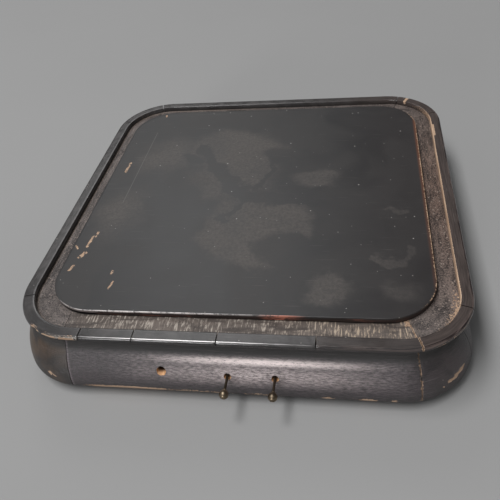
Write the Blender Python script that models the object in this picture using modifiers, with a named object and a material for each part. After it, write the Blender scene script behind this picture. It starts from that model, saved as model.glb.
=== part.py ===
"""Ebonised display plinth with a clockwork musical movement inside.

A low square case with rounded corners: moulded frame, glued lip, loose top board in the lip's recess,
two ball-ended pull rods and a key hole in front. +X is right, +Y is the back, +Z is up, and the origin
is the middle of the underside.
"""

import math

import bmesh
import bpy

MM = 0.001

# Case
CASE_WIDTH = 400 * MM
CASE_HEIGHT = 72 * MM
CORNER_RADIUS = 58 * MM
FRAME_DEPTH = 46 * MM
CORNER_STEPS = 10
SEAM_STEPS = 1.8
FRONT_LEFT_SEAM_STEPS = 0.2
SEAM_GAP = 0.6 * MM

# Lip that is glued along the frame's outer edge, a little off centre and with rounder corners; its front
# seams are measured from the lip's left side
LIP_WIDTH = 11.4 * MM
LIP_HEIGHT = 6 * MM
LIP_RADIUS = 62 * MM
LIP_SHIFT = (3.2 * MM, -1.6 * MM)
FRONT_LIP_SEAMS = (72.8 * MM, 120.8 * MM, 192.8 * MM, 273.4 * MM)

# Moulded face of the frame, measured out from the case's width and up from the underside: a cove that
# turns over into a swelling face, and a round foot
COVE_SETBACK = 5 * MM
COVE_FOOT = 50 * MM
COVE_ROLL = 8 * MM
COVE_STEPS = 4
FACE_SETBACK = 6 * MM
FACE_LEAN = math.radians(32)
FACE_ROLL = 22 * MM
FACE_STEPS = 7
BULGE_REACH = 6.5 * MM
BULGE_HEIGHT = 13.5 * MM
FOOT_INSET = 23 * MM
FOOT_STEPS = 5

# Bottom board
BOTTOM_THICKNESS = 9 * MM
REBATE_WIDTH = 9 * MM

# Loose top board, as it lies in the recess
BOARD_PLAY_ACROSS = 15.4 * MM
BOARD_PLAY_DEEP = 17 * MM
BOARD_RADIUS = 45 * MM
BOARD_THICKNESS = 6 * MM
BOARD_ARRIS = 0.6 * MM
BOARD_SHIFT = (1.7 * MM, 0.3 * MM)
CLEAT_WIDTH = 22 * MM
CLEAT_THICKNESS = 9 * MM
CLEAT_PLAY = 5 * MM
CLEAT_CORNER = 4 * MM

# Pull rods and key hole in the front rail
START_X = 0.5 * MM
CHANGE_X = 41 * MM
PULL_Z = 30.5 * MM
PULL_RADIUS = 1.2 * MM
PULL_HOLE_RADIUS = 3 * MM
BALL_RADIUS = 4 * MM
BALL_REACH = 14 * MM
CHANGE_TRAVEL = 8 * MM
GUIDE_LENGTH = 12 * MM
GUIDE_FLANGE = 1.5 * MM
KEY_X = -57.5 * MM
KEY_Z = 33 * MM
KEY_HOLE_RADIUS = 4 * MM
KEY_SINK = 43 * MM

# Fits
SEAT_GAP = 0.3 * MM
RUNNING_GAP = 0.3 * MM

# Movement: bed and upright plates
BED_THICKNESS = 3 * MM
BED_MARGIN = 12 * MM
BED_CORNER = 6 * MM
PLATE_THICKNESS = 3 * MM
PLATE_MARGIN = 7 * MM
PLATE_SHOULDER = 5.6 * MM
PLATE_SPACE = 3 * MM
MOVEMENT_SETBACK = 28 * MM

# Wheels: clearances of the teeth and the train's counts
PRESSURE_ANGLE = math.radians(20)
ADDENDUM = 0.8
DEDENDUM = 1.25
TOOTH_SHARE = 0.40
DRIVE_MODULE = 0.9 * MM
TRAIN_MODULE = 0.7 * MM
GREAT_TEETH = 40
CYLINDER_PINION_TEETH = 16
CYLINDER_WHEEL_TEETH = 36
GOVERNOR_PINION_TEETH = 12
GOVERNOR_WHEEL_TEETH = 24
WHEEL_THICKNESS = 3 * MM
PINION_LENGTH = 6 * MM
FINE_WHEEL_THICKNESS = 1.6 * MM

# Spring barrel and winding arbor
ARBOR_RADIUS = 2.5 * MM
SQUARE_SIDE = 3.6 * MM
BARREL_RADIUS = 15.8 * MM
BARREL_LENGTH = 24 * MM
BARREL_WALL = 1.5 * MM
BARREL_WEB = 2 * MM
SPRING_TURNS = 5
SPRING_STRIP = 0.5 * MM
RATCHET_TEETH = 24
RATCHET_RADIUS = 9 * MM
RATCHET_DEPTH = 1.6 * MM
RATCHET_LEAN = math.radians(0.5)
CLICK_ACROSS = 12 * MM
CLICK_RISE = 13 * MM
CLICK_EYE = 3.2 * MM
CLICK_EYE_ARC = (-100, 110)
CLICK_NOSE = 2.2 * MM
STUD_RADIUS = 1.5 * MM

# Pinned cylinder and comb
CYLINDER_RADIUS = 12 * MM
CYLINDER_LENGTH = 80 * MM
CYLINDER_WALL = 1.5 * MM
CYLINDER_ARBOR_RADIUS = 2 * MM
COMB_TEETH = 30
COMB_LENGTH = 76 * MM
COMB_THICKNESS = 2 * MM
COMB_SLOT = 0.7 * MM
COMB_BASS_TOOTH = 26 * MM
COMB_TREBLE_TOOTH = 18 * MM
COMB_HEEL = 10 * MM
COMB_PIN_GAP = 1 * MM
COMB_SCREW_RADIUS = 1.5 * MM
COMB_SCREW_HEAD = 2.8 * MM
COMB_SCREW_HEAD_HEIGHT = 2 * MM
COMB_SCREW_LENGTH = 12 * MM
COMB_BASE_CORNER = 2 * MM

# Governor: arbor, endless screw, brake disc and fly
GOVERNOR_RISE = math.radians(25)
GOVERNOR_ARBOR_RADIUS = 1.5 * MM
SCREW_PITCH_RADIUS = 2.8 * MM
SCREW_CORE_RADIUS = 1.9 * MM
THREAD_RADIUS = 0.55 * MM
THREAD_TURNS = 4
SCREW_ARBOR_RADIUS = 1 * MM
BRAKE_RADIUS = 5 * MM
BRAKE_THICKNESS = 3 * MM
FLY_RADIUS = 10 * MM
FLY_ROOM = 3 * MM
FLY_THICKNESS = 0.6 * MM
FLY_HUB = 2.2 * MM
FOOT_RADIUS = 4 * MM
FOOT_HEIGHT = 7 * MM
COCK_CORNER = 2.5 * MM

# Tune-change lever
LEVER_PIVOT_X = -15.5 * MM
LEVER_SETBACK = 9 * MM
LEVER_THICKNESS = 3 * MM
LEVER_HALF_WIDTH = 3 * MM
LEVER_OVER_ROD = 2.8 * MM
LEVER_PIN_RADIUS = 1.2 * MM
LEVER_PIVOT_RADIUS = 2 * MM
EYE_PLAY = 1 * MM
EYE_RIM = 1.8 * MM
NOSE_STOP = 0.5 * MM

# Places that follow from the sizes above
HALF = CASE_WIDTH / 2
INNER_HALF = HALF - FRAME_DEPTH
LEDGE_Z = CASE_HEIGHT - LIP_HEIGHT
BOARD_Z = LEDGE_Z + SEAT_GAP
BED_BOTTOM = BOTTOM_THICKNESS + SEAT_GAP
BED_TOP = BED_BOTTOM + BED_THICKNESS
PLATE_FOOT = BED_TOP + SEAT_GAP
FACE_Y = -(HALF + BULGE_REACH)
BOARD_WIDTH = CASE_WIDTH - 2 * (LIP_WIDTH + BOARD_PLAY_ACROSS)
BOARD_DEPTH = CASE_WIDTH - 2 * (LIP_WIDTH + BOARD_PLAY_DEEP)

FRONT_COCK_Y = MOVEMENT_SETBACK - INNER_HALF
BARREL_FRONT = FRONT_COCK_Y + PLATE_THICKNESS / 2 + PLATE_SPACE
BARREL_BACK = BARREL_FRONT + BARREL_LENGTH
GREAT_Y = BARREL_BACK + SEAT_GAP + WHEEL_THICKNESS / 2
MIDDLE_BRIDGE_Y = GREAT_Y + PINION_LENGTH / 2 + PLATE_SPACE * 2
CYLINDER_FRONT = MIDDLE_BRIDGE_Y + PLATE_THICKNESS / 2 + PLATE_SPACE
CYLINDER_BACK = CYLINDER_FRONT + CYLINDER_LENGTH
CYLINDER_WHEEL_Y = CYLINDER_BACK + PLATE_SPACE + WHEEL_THICKNESS / 2
REAR_BRIDGE_Y = CYLINDER_WHEEL_Y + PINION_LENGTH / 2 + PLATE_SPACE + PLATE_THICKNESS / 2
SCREW_Y = REAR_BRIDGE_Y + PLATE_THICKNESS / 2 + FLY_RADIUS
GOVERNOR_COCK_Y = SCREW_Y + FLY_RADIUS
RATCHET_Y = FRONT_COCK_Y - PLATE_THICKNESS / 2 - RUNNING_GAP - WHEEL_THICKNESS / 2

CYLINDER_X = KEY_X + DRIVE_MODULE * (GREAT_TEETH + CYLINDER_PINION_TEETH) / 2
CYLINDER_Z = KEY_Z
GOVERNOR_REACH = DRIVE_MODULE * (CYLINDER_WHEEL_TEETH + GOVERNOR_PINION_TEETH) / 2
GOVERNOR_X = CYLINDER_X + GOVERNOR_REACH * math.cos(GOVERNOR_RISE)
GOVERNOR_Z = CYLINDER_Z + GOVERNOR_REACH * math.sin(GOVERNOR_RISE)
GOVERNOR_WHEEL_RADIUS = TRAIN_MODULE * GOVERNOR_WHEEL_TEETH / 2
SCREW_X = GOVERNOR_X + GOVERNOR_WHEEL_RADIUS + SCREW_PITCH_RADIUS
SCREW_LEAD = math.pi * TRAIN_MODULE
SCREW_COCK_Z = GOVERNOR_Z + SCREW_LEAD * THREAD_TURNS / 2 + PLATE_SPACE
FLY_Z = SCREW_COCK_Z + PLATE_THICKNESS + RUNNING_GAP
FLY_HEIGHT = BOARD_Z - FLY_ROOM - FLY_Z
LEVER_Z = PULL_Z + PULL_RADIUS + LEVER_OVER_ROD
LEVER_ARM = CHANGE_X - LEVER_PIVOT_X
CYLINDER_ARBOR_FRONT = GREAT_Y - PINION_LENGTH / 2 - SEAT_GAP
LEVER_Y = CYLINDER_ARBOR_FRONT - LEVER_SETBACK
CLICK_X = KEY_X + CLICK_ACROSS
CLICK_Z = KEY_Z + CLICK_RISE

SIDES = ("front", "right", "back", "left")
CORNERS = ("front_right", "back_right", "back_left", "front_left")
UPRIGHT = (math.pi / 2, 0, 0)
ALONG_Y = (-math.pi / 2, 0, 0)


def new_collection(name):
    collection = bpy.data.collections.new(name)
    bpy.context.scene.collection.children.link(collection)
    return collection


def new_material(name, colour, roughness, metallic):
    material = bpy.data.materials.new(name)
    material.use_nodes = True
    shader = material.node_tree.nodes["Principled BSDF"]
    shader.inputs["Base Color"].default_value = (*colour, 1)
    shader.inputs["Roughness"].default_value = roughness
    shader.inputs["Metallic"].default_value = metallic
    return material


for old in list(bpy.data.objects):
    bpy.data.objects.remove(old)

PARTS = new_collection("musical_display_plinth")
CUTTERS = new_collection("cutters")
EBONY = new_material("ebonised_wood", (0.03, 0.028, 0.03), 0.45, 0)
BOARD_BLACK = new_material("black_painted_board", (0.035, 0.036, 0.036), 0.5, 0)
PINE = new_material("raw_pine", (0.42, 0.27, 0.15), 0.75, 0)
BRASS = new_material("brass", (0.62, 0.45, 0.18), 0.35, 1)
AGED_BRASS = new_material("aged_brass", (0.16, 0.13, 0.10), 0.5, 1)
STEEL = new_material("steel", (0.45, 0.45, 0.47), 0.3, 1)


def add_part(name, data, finish, location=(0, 0, 0), rotation=(0, 0, 0)):
    part = bpy.data.objects.new(name, data)
    part.location = location
    part.rotation_euler = rotation
    data.materials.append(finish)
    PARTS.objects.link(part)
    return part


def set_aside(tool):
    """Keep a guide or cutter out of the finished object."""
    for collection in list(tool.users_collection):
        collection.objects.unlink(tool)
    CUTTERS.objects.link(tool)
    tool.hide_render = True
    tool.display_type = "WIRE"
    return tool


def arc(centre, radius, start, end, steps):
    """Points on an arc, both ends included; angles in degrees."""
    points = []
    for step in range(steps + 1):
        angle = math.radians(start + (end - start) * step / steps)
        points.append((centre[0] + radius * math.cos(angle), centre[1] + radius * math.sin(angle)))
    return points


def circle(centre, radius, steps=20):
    return arc(centre, radius, 0, 360, steps)[:-1]


def bend(start, pull, end, steps):
    """Points on a quadratic curve, both ends included."""
    points = []
    for step in range(steps + 1):
        t = step / steps
        weights = ((1 - t) ** 2, 2 * t * (1 - t), t ** 2)
        points.append(tuple(sum(w * p[axis] for w, p in zip(weights, (start, pull, end))) for axis in (0, 1)))
    return points


def rounded_rectangle(left, bottom, right, top, radius, steps=6):
    points = arc((right - radius, bottom + radius), radius, -90, 0, steps)
    points += arc((right - radius, top - radius), radius, 0, 90, steps)
    points += arc((left + radius, top - radius), radius, 90, 180, steps)
    points += arc((left + radius, bottom + radius), radius, 180, 270, steps)
    return points


def flat_curve(name, outlines, closed=True):
    curve = bpy.data.curves.new(name, "CURVE")
    curve.dimensions = "2D"
    for outline in outlines:
        spline = curve.splines.new("POLY")
        spline.points.add(len(outline) - 1)
        for point, (x, y) in zip(spline.points, outline):
            point.co = (x, y, 0, 1)
        spline.use_cyclic_u = closed
    return curve


def plate(name, outlines, thickness, finish, location, rotation=(0, 0, 0), arris=0.0):
    """A flat outline with its holes, thick both ways from its location."""
    curve = flat_curve(name, outlines)
    curve.fill_mode = "BOTH"
    curve.extrude = thickness / 2 - arris
    curve.bevel_depth = arris
    curve.bevel_resolution = 0
    curve.offset = -arris
    return add_part(name, curve, finish, location, rotation)


def turned(name, profile, finish, location, rotation=(0, 0, 0), steps=24):
    """A profile of (radius, height) points, outer side from top to bottom, turned about its height."""
    mesh = bpy.data.meshes.new(name)
    edges = [(index, index + 1) for index in range(len(profile) - 1)]
    if profile[0][0] > 0:
        edges.append((len(profile) - 1, 0))
    mesh.from_pydata([(radius, 0, height) for radius, height in profile], edges, [])
    part = add_part(name, mesh, finish, location, rotation)
    screw = part.modifiers.new("turn", "SCREW")
    screw.steps = steps
    screw.render_steps = steps
    screw.use_merge_vertices = True
    screw.merge_threshold = 0.00001
    screw.use_smooth_shade = True
    return part


def ring_profile(inner, outer, low, high):
    return [(inner, high), (outer, high), (outer, low), (inner, low)]


def tube(name, points, radius, finish, sides=2):
    """A round wire along points."""
    curve = bpy.data.curves.new(name, "CURVE")
    curve.dimensions = "3D"
    spline = curve.splines.new("POLY")
    spline.points.add(len(points) - 1)
    for point, place in zip(spline.points, points):
        point.co = (*place, 1)
    curve.bevel_depth = radius
    curve.bevel_resolution = sides
    curve.use_fill_caps = True
    return add_part(name, curve, finish)


def as_mesh(part):
    """The same piece as a welded mesh, ready to be cut or joined."""
    graph = bpy.context.evaluated_depsgraph_get()
    mesh = bpy.data.meshes.new_from_object(part.evaluated_get(graph))
    shape = bmesh.new()
    shape.from_mesh(mesh)
    bmesh.ops.remove_doubles(shape, verts=shape.verts, dist=0.000001)
    bmesh.ops.recalc_face_normals(shape, faces=shape.faces)
    shape.to_mesh(mesh)
    shape.free()
    name = part.name
    matrix = part.matrix_world.copy()
    bpy.data.objects.remove(part)
    solid = bpy.data.objects.new(name, mesh)
    solid.matrix_world = matrix
    PARTS.objects.link(solid)
    return solid


def combine(part, tool, operation):
    change = part.modifiers.new(operation.lower(), "BOOLEAN")
    change.operation = operation
    change.object = set_aside(tool)
    return part


def bore(part, centre, radius, length, rotation):
    """Cut a round hole of this length, centred here."""
    bpy.ops.mesh.primitive_cylinder_add(vertices=20, radius=radius, depth=length,
                                        location=centre, rotation=rotation)
    return combine(part, bpy.context.object, "DIFFERENCE")


class Edge:
    """An outer edge with straight sides and round corners. A run is a length along it, counter-clockwise
    from the front's left end."""

    def __init__(self, radius):
        self.radius = radius
        self.straight = HALF - radius
        self.side = 2 * self.straight
        self.arc = radius * math.pi / 2
        self.quarter = self.side + self.arc
        self.step = self.arc / CORNER_STEPS
        self.seam = self.step * SEAM_STEPS

    def point(self, run):
        quarter, along = divmod(run, self.quarter)
        angle = max(0, along - self.side) / self.radius
        x = min(along, self.side) - self.straight + self.radius * math.sin(angle)
        y = -self.straight - self.radius * math.cos(angle)
        turn = quarter * math.pi / 2
        return (x * math.cos(turn) - y * math.sin(turn), x * math.sin(turn) + y * math.cos(turn))

    def bends(self):
        """Runs at which the edge bends, evenly round each corner: once round the case and a bit over."""
        runs = []
        for quarter in range(-1, 5):
            arc_start = quarter * self.quarter + self.side
            runs += [arc_start + self.step * number for number in range(CORNER_STEPS + 1)]
        return runs

    def path(self, start, end):
        """Points between two seams, each cut square within a straight stretch."""
        runs = self.bends()
        points = [self.point(run) for run in runs if start < run < end]
        for seam, way in ((start, 1), (end, -1)):
            before = max(run for run in runs if run <= seam)
            after = min(run for run in runs if run > seam)
            share = (seam - before) / (after - before)
            low = self.point(before)
            high = self.point(after)
            step = way * SEAM_GAP / 2 / math.dist(low, high)
            cut = tuple(a + (b - a) * (share + step) for a, b in zip(low, high))
            points = [cut, *points] if way == 1 else [*points, cut]
        return points


def profile_guide(name, points):
    guide = bpy.data.objects.new(name, flat_curve(name, [points]))
    CUTTERS.objects.link(guide)
    return set_aside(guide)


def moulding(name, edge, guide, start, end, shift=(0, 0)):
    """One length of an ebonised moulding, swept along an edge and cut square at its seams."""
    path = flat_curve(name, [edge.path(start, end)], closed=False)
    path.bevel_mode = "OBJECT"
    path.bevel_object = guide
    path.use_fill_caps = True
    return add_part(name, path, EBONY, (*shift, 0))


def frame_section():
    """Cove under the lip, swelling face, round foot, and the rebate that holds the bottom board."""
    out = math.sin(FACE_LEAN)
    down = math.cos(FACE_LEAN)
    face_top = (-FACE_SETBACK, COVE_FOOT)
    cove_pull = (-FACE_SETBACK - COVE_ROLL * out, COVE_FOOT + COVE_ROLL * down)
    face_pull = (-FACE_SETBACK + FACE_ROLL * out, COVE_FOOT - FACE_ROLL * down)
    points = bend((-COVE_SETBACK, LEDGE_Z), cove_pull, face_top, COVE_STEPS)
    points += bend(face_top, face_pull, (BULGE_REACH, BULGE_HEIGHT), FACE_STEPS)[1:]
    for step in range(1, FOOT_STEPS + 1):
        angle = math.radians(90 * step / FOOT_STEPS)
        reach = (FOOT_INSET + BULGE_REACH) * math.cos(angle) - FOOT_INSET
        points.append((reach, BULGE_HEIGHT * (1 - math.sin(angle))))
    rebate_top = BOTTOM_THICKNESS + SEAT_GAP
    points.append((REBATE_WIDTH - FRAME_DEPTH, 0))
    points.append((REBATE_WIDTH - FRAME_DEPTH, rebate_top))
    points.append((-FRAME_DEPTH, rebate_top))
    points.append((-FRAME_DEPTH, LEDGE_Z))
    return points


def lip_section():
    """A flat strip with a half-round outer edge."""
    nose = (CASE_HEIGHT - BOARD_Z) / 2
    points = arc((-nose, BOARD_Z + nose), nose, 90, -90, 8)
    points.append((-LIP_WIDTH, BOARD_Z))
    points.append((-LIP_WIDTH, CASE_HEIGHT))
    return points


def make_frame():
    guide = profile_guide("frame_section", frame_section())
    edge = Edge(CORNER_RADIUS)
    front_left_seam = edge.step * FRONT_LEFT_SEAM_STEPS
    rails = {}
    for index, (side, corner) in enumerate(zip(SIDES, CORNERS)):
        base = index * edge.quarter
        side_end = base + edge.side + edge.seam
        before = front_left_seam if side == "front" else edge.seam
        after = front_left_seam if side == "left" else edge.seam
        rails[side] = moulding(f"{side}_rail", edge, guide, base - before, side_end)
        moulding(f"corner_block_{corner}", edge, guide, side_end, base + edge.quarter - after)
    front = as_mesh(rails["front"])
    middle = FACE_Y + FRAME_DEPTH / 2
    through = 2 * FRAME_DEPTH
    bore(front, (KEY_X, middle, KEY_Z), KEY_HOLE_RADIUS, through, UPRIGHT)
    for x in (START_X, CHANGE_X):
        bore(front, (x, middle, PULL_Z), PULL_HOLE_RADIUS, through, UPRIGHT)


def make_lip():
    guide = profile_guide("lip_section", lip_section())
    edge = Edge(LIP_RADIUS)
    seams = [seam - LIP_RADIUS for seam in FRONT_LIP_SEAMS] + [edge.side + edge.seam]
    for number, (start, end) in enumerate(zip(seams, seams[1:]), 1):
        moulding(f"lip_front_{number}", edge, guide, start, end, LIP_SHIFT)
    for index, (side, corner) in enumerate(zip(SIDES, CORNERS)):
        base = index * edge.quarter
        side_end = base + edge.side + edge.seam
        after = -seams[0] if side == "left" else edge.seam
        if side != "front":
            moulding(f"lip_{side}", edge, guide, base - edge.seam, side_end, LIP_SHIFT)
        moulding(f"lip_corner_{corner}", edge, guide, side_end, base + edge.quarter - after, LIP_SHIFT)


def make_boards():
    bottom_half = INNER_HALF + REBATE_WIDTH - SEAT_GAP
    bottom_radius = CORNER_RADIUS - FRAME_DEPTH + REBATE_WIDTH - SEAT_GAP
    outline = rounded_rectangle(-bottom_half, -bottom_half, bottom_half, bottom_half, bottom_radius)
    plate("bottom_board", [outline], BOTTOM_THICKNESS, PINE, (0, 0, BOTTOM_THICKNESS / 2))
    half_width = BOARD_WIDTH / 2
    half_depth = BOARD_DEPTH / 2
    outline = rounded_rectangle(-half_width, -half_depth, half_width, half_depth, BOARD_RADIUS, 10)
    plate("top_board", [outline], BOARD_THICKNESS, BOARD_BLACK,
          (*BOARD_SHIFT, BOARD_Z + BOARD_THICKNESS / 2), arris=BOARD_ARRIS)
    half_length = INNER_HALF - CLEAT_WIDTH
    half_cleat = CLEAT_WIDTH / 2
    cleat_z = BOARD_Z - SEAT_GAP - CLEAT_THICKNESS / 2
    for side, name in ((-1, "board_cleat_left"), (1, "board_cleat_right")):
        x = side * (INNER_HALF - CLEAT_PLAY - half_cleat)
        outline = rounded_rectangle(-half_cleat, -half_length, half_cleat, half_length, CLEAT_CORNER, 2)
        plate(name, [outline], CLEAT_THICKNESS, PINE, (x + BOARD_SHIFT[0], BOARD_SHIFT[1], cleat_z),
              arris=BOARD_ARRIS)


def make_ball(name, x):
    hole = PULL_RADIUS + SEAT_GAP
    rim = math.degrees(math.acos(hole / BALL_RADIUS))
    profile = [(0, -BALL_RADIUS / 4), (hole, -BALL_RADIUS / 4)]
    profile += arc((0, 0), BALL_RADIUS, rim, -90, 8)[:-1]
    profile.append((0, -BALL_RADIUS))
    turned(name, profile, AGED_BRASS, (x, FACE_Y - BALL_REACH, PULL_Z), ALONG_Y, 16)


def make_guide(name, x):
    inner = PULL_RADIUS + RUNNING_GAP
    outer = PULL_HOLE_RADIUS - SEAT_GAP
    flange = PULL_HOLE_RADIUS + GUIDE_FLANGE
    profile = [(inner, GUIDE_FLANGE), (flange, GUIDE_FLANGE), (flange, 0), (outer, 0),
               (outer, -GUIDE_LENGTH), (inner, -GUIDE_LENGTH)]
    turned(name, profile, BRASS, (x, SEAT_GAP - INNER_HALF, PULL_Z), ALONG_Y, 16)


def make_pulls():
    rod_start = FACE_Y - BALL_REACH
    for name, x in (("start", START_X), ("change", CHANGE_X)):
        make_ball(f"{name}_ball", x)
        make_guide(f"{name}_rod_guide", x)
    brake_face = SCREW_Y - BRAKE_RADIUS - SEAT_GAP
    tube("start_rod", [(START_X, rod_start, PULL_Z), (START_X, brake_face, PULL_Z)], PULL_RADIUS, STEEL)
    eye_inner = LEVER_PIN_RADIUS + EYE_PLAY
    eye_outer = eye_inner + EYE_RIM
    rod_end = LEVER_Y - eye_inner - EYE_RIM / 2
    rod = as_mesh(tube("change_rod", [(CHANGE_X, rod_start, PULL_Z), (CHANGE_X, rod_end, PULL_Z)],
                       PULL_RADIUS, STEEL))
    eye = turned("change_rod_eye", ring_profile(eye_inner, eye_outer, -PULL_RADIUS, PULL_RADIUS), STEEL,
                 (CHANGE_X, LEVER_Y, PULL_Z), steps=16)
    combine(rod, eye, "UNION")


def upright_plate(name, y, left, right, top, holes):
    """A brass plate that stands on the bed, with rounded shoulders and pivot holes."""
    outline = [(left, PLATE_FOOT), (right, PLATE_FOOT)]
    outline += arc((right - PLATE_SHOULDER, top - PLATE_SHOULDER), PLATE_SHOULDER, 0, 90, 5)
    outline += arc((left + PLATE_SHOULDER, top - PLATE_SHOULDER), PLATE_SHOULDER, 90, 180, 5)
    pivots = [circle((x, z), radius + RUNNING_GAP, 16) for x, z, radius in holes]
    plate(name, [outline, *pivots], PLATE_THICKNESS, BRASS, (0, y, 0), UPRIGHT)


def make_bed():
    left = KEY_X - DRIVE_MODULE * GREAT_TEETH / 2 - 2 * BED_MARGIN
    right = SCREW_X + FLY_RADIUS + BED_MARGIN
    front = RATCHET_Y - BED_MARGIN
    back = GOVERNOR_COCK_Y + BED_MARGIN
    plate("movement_bed", [rounded_rectangle(left, front, right, back, BED_CORNER, 3)], BED_THICKNESS, BRASS,
          (0, 0, BED_BOTTOM + BED_THICKNESS / 2))
    wide = RATCHET_RADIUS + PLATE_MARGIN
    winding_hole = (KEY_X, KEY_Z, ARBOR_RADIUS)
    cylinder_hole = (CYLINDER_X, CYLINDER_Z, CYLINDER_ARBOR_RADIUS)
    governor_hole = (GOVERNOR_X, GOVERNOR_Z, GOVERNOR_ARBOR_RADIUS)
    upright_plate("front_cock", FRONT_COCK_Y, KEY_X - wide, CLICK_X + PLATE_MARGIN, CLICK_Z + PLATE_MARGIN,
                  [winding_hole])
    upright_plate("middle_bridge", MIDDLE_BRIDGE_Y, KEY_X - 2 * PLATE_MARGIN, CYLINDER_X + 2 * PLATE_MARGIN,
                  KEY_Z + 2 * PLATE_MARGIN, [winding_hole, cylinder_hole])
    upright_plate("rear_bridge", REAR_BRIDGE_Y, CYLINDER_X - 2 * PLATE_MARGIN, GOVERNOR_X + PLATE_MARGIN,
                  GOVERNOR_Z + PLATE_MARGIN, [cylinder_hole, governor_hole])
    upright_plate("governor_cock", GOVERNOR_COCK_Y, GOVERNOR_X - PLATE_MARGIN, SCREW_X + PLATE_MARGIN,
                  SCREW_COCK_Z - SEAT_GAP, [governor_hole])
    stay_top = PULL_Z + PLATE_MARGIN
    upright_plate("start_rod_stay", CYLINDER_BACK, START_X - PLATE_MARGIN, START_X + PLATE_MARGIN, stay_top,
                  [(START_X, PULL_Z, PULL_RADIUS)])


def gear_outline(teeth, module, share=TOOTH_SHARE, phase=0.0):
    """Involute teeth, thinned to leave backlash; a tooth points along +X at phase 0 (in teeth)."""
    pitch_radius = teeth * module / 2
    base_radius = pitch_radius * math.cos(PRESSURE_ANGLE)
    root_radius = pitch_radius - DEDENDUM * module
    half_tooth = share * math.pi / teeth + math.tan(PRESSURE_ANGLE) - PRESSURE_ANGLE

    def flank(radius):
        roll = math.acos(min(1, base_radius / radius))
        return half_tooth - math.tan(roll) + roll

    radii = (root_radius, pitch_radius, pitch_radius + ADDENDUM * module)
    sides = [(radius, -flank(max(radius, base_radius))) for radius in radii]
    sides += [(radius, -angle) for radius, angle in reversed(sides)]
    points = []
    for tooth in range(teeth):
        middle = 2 * math.pi * (tooth + phase) / teeth
        for radius, angle in sides:
            points.append((radius * math.cos(middle + angle), radius * math.sin(middle + angle)))
    return points


def wheel(name, outline, hole, thickness, finish, location):
    return plate(name, [outline, circle((0, 0), hole, 16)], thickness, finish, location, UPRIGHT)


def leaved_arbor(name, radius, back, pinion_place, leaves):
    """An arbor along Y with pinion leaves cut in its thick front end."""
    x, y, z = pinion_place
    front = y - PINION_LENGTH / 2 - SEAT_GAP
    length = back - front
    profile = [(0, length), (radius, length), (radius, 0), (0, 0)]
    arbor = turned(name, profile, STEEL, (x, front, z), ALONG_Y, 16)
    pinion = plate(f"{name}_leaves", [leaves], PINION_LENGTH, STEEL, pinion_place, UPRIGHT)
    bpy.context.view_layer.update()
    return combine(arbor, as_mesh(pinion), "UNION")


def ratchet_outline():
    points = []
    for tooth in range(RATCHET_TEETH):
        angle = 2 * math.pi * tooth / RATCHET_TEETH
        for radius, turn in ((RATCHET_RADIUS, angle), (RATCHET_RADIUS - RATCHET_DEPTH, angle + RATCHET_LEAN)):
            points.append((radius * math.cos(turn), radius * math.sin(turn)))
    return points


def spring_outline(inner, outer):
    """A flat strip wound in a spiral, as the outline of its edge."""
    steps = SPRING_TURNS * 14
    outer_edge = []
    inner_edge = []
    for step in range(steps + 1):
        angle = 2 * math.pi * SPRING_TURNS * step / steps
        radius = inner + (outer - inner) * step / steps
        outward = (math.cos(angle), math.sin(angle))
        outer_edge.append(tuple((radius + SPRING_STRIP / 2) * c for c in outward))
        inner_edge.append(tuple((radius - SPRING_STRIP / 2) * c for c in outward))
    least_gap = (outer - inner) / SPRING_TURNS - SPRING_STRIP
    print(f"mainspring: least gap between turns {least_gap / MM:.2f} mm")
    return outer_edge + inner_edge[::-1]


def make_barrel():
    """Drum, lid, mainspring and great wheel, all turning on the winding arbor."""
    axis = (KEY_X, BARREL_FRONT, KEY_Z)
    hole = ARBOR_RADIUS + RUNNING_GAP
    inside = BARREL_RADIUS - BARREL_WALL
    web = BARREL_LENGTH - BARREL_WEB
    drum = [(hole, BARREL_LENGTH), (BARREL_RADIUS, BARREL_LENGTH), (BARREL_RADIUS, 0), (inside, 0),
            (inside, web), (hole, web)]
    turned("barrel_drum", drum, BRASS, axis, ALONG_Y)
    turned("barrel_lid", ring_profile(hole, inside - SEAT_GAP, 0, BARREL_WEB), BRASS, axis, ALONG_Y)
    strip_width = web - BARREL_WEB - 2 * SEAT_GAP
    spring = spring_outline(hole + 2 * SPRING_STRIP, inside - SEAT_GAP - SPRING_STRIP)
    plate("mainspring", [spring], strip_width, STEEL,
          (KEY_X, BARREL_FRONT + BARREL_WEB + SEAT_GAP + strip_width / 2, KEY_Z), UPRIGHT)
    wheel("great_wheel", gear_outline(GREAT_TEETH, DRIVE_MODULE), hole, WHEEL_THICKNESS, BRASS,
          (KEY_X, GREAT_Y, KEY_Z))


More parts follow.
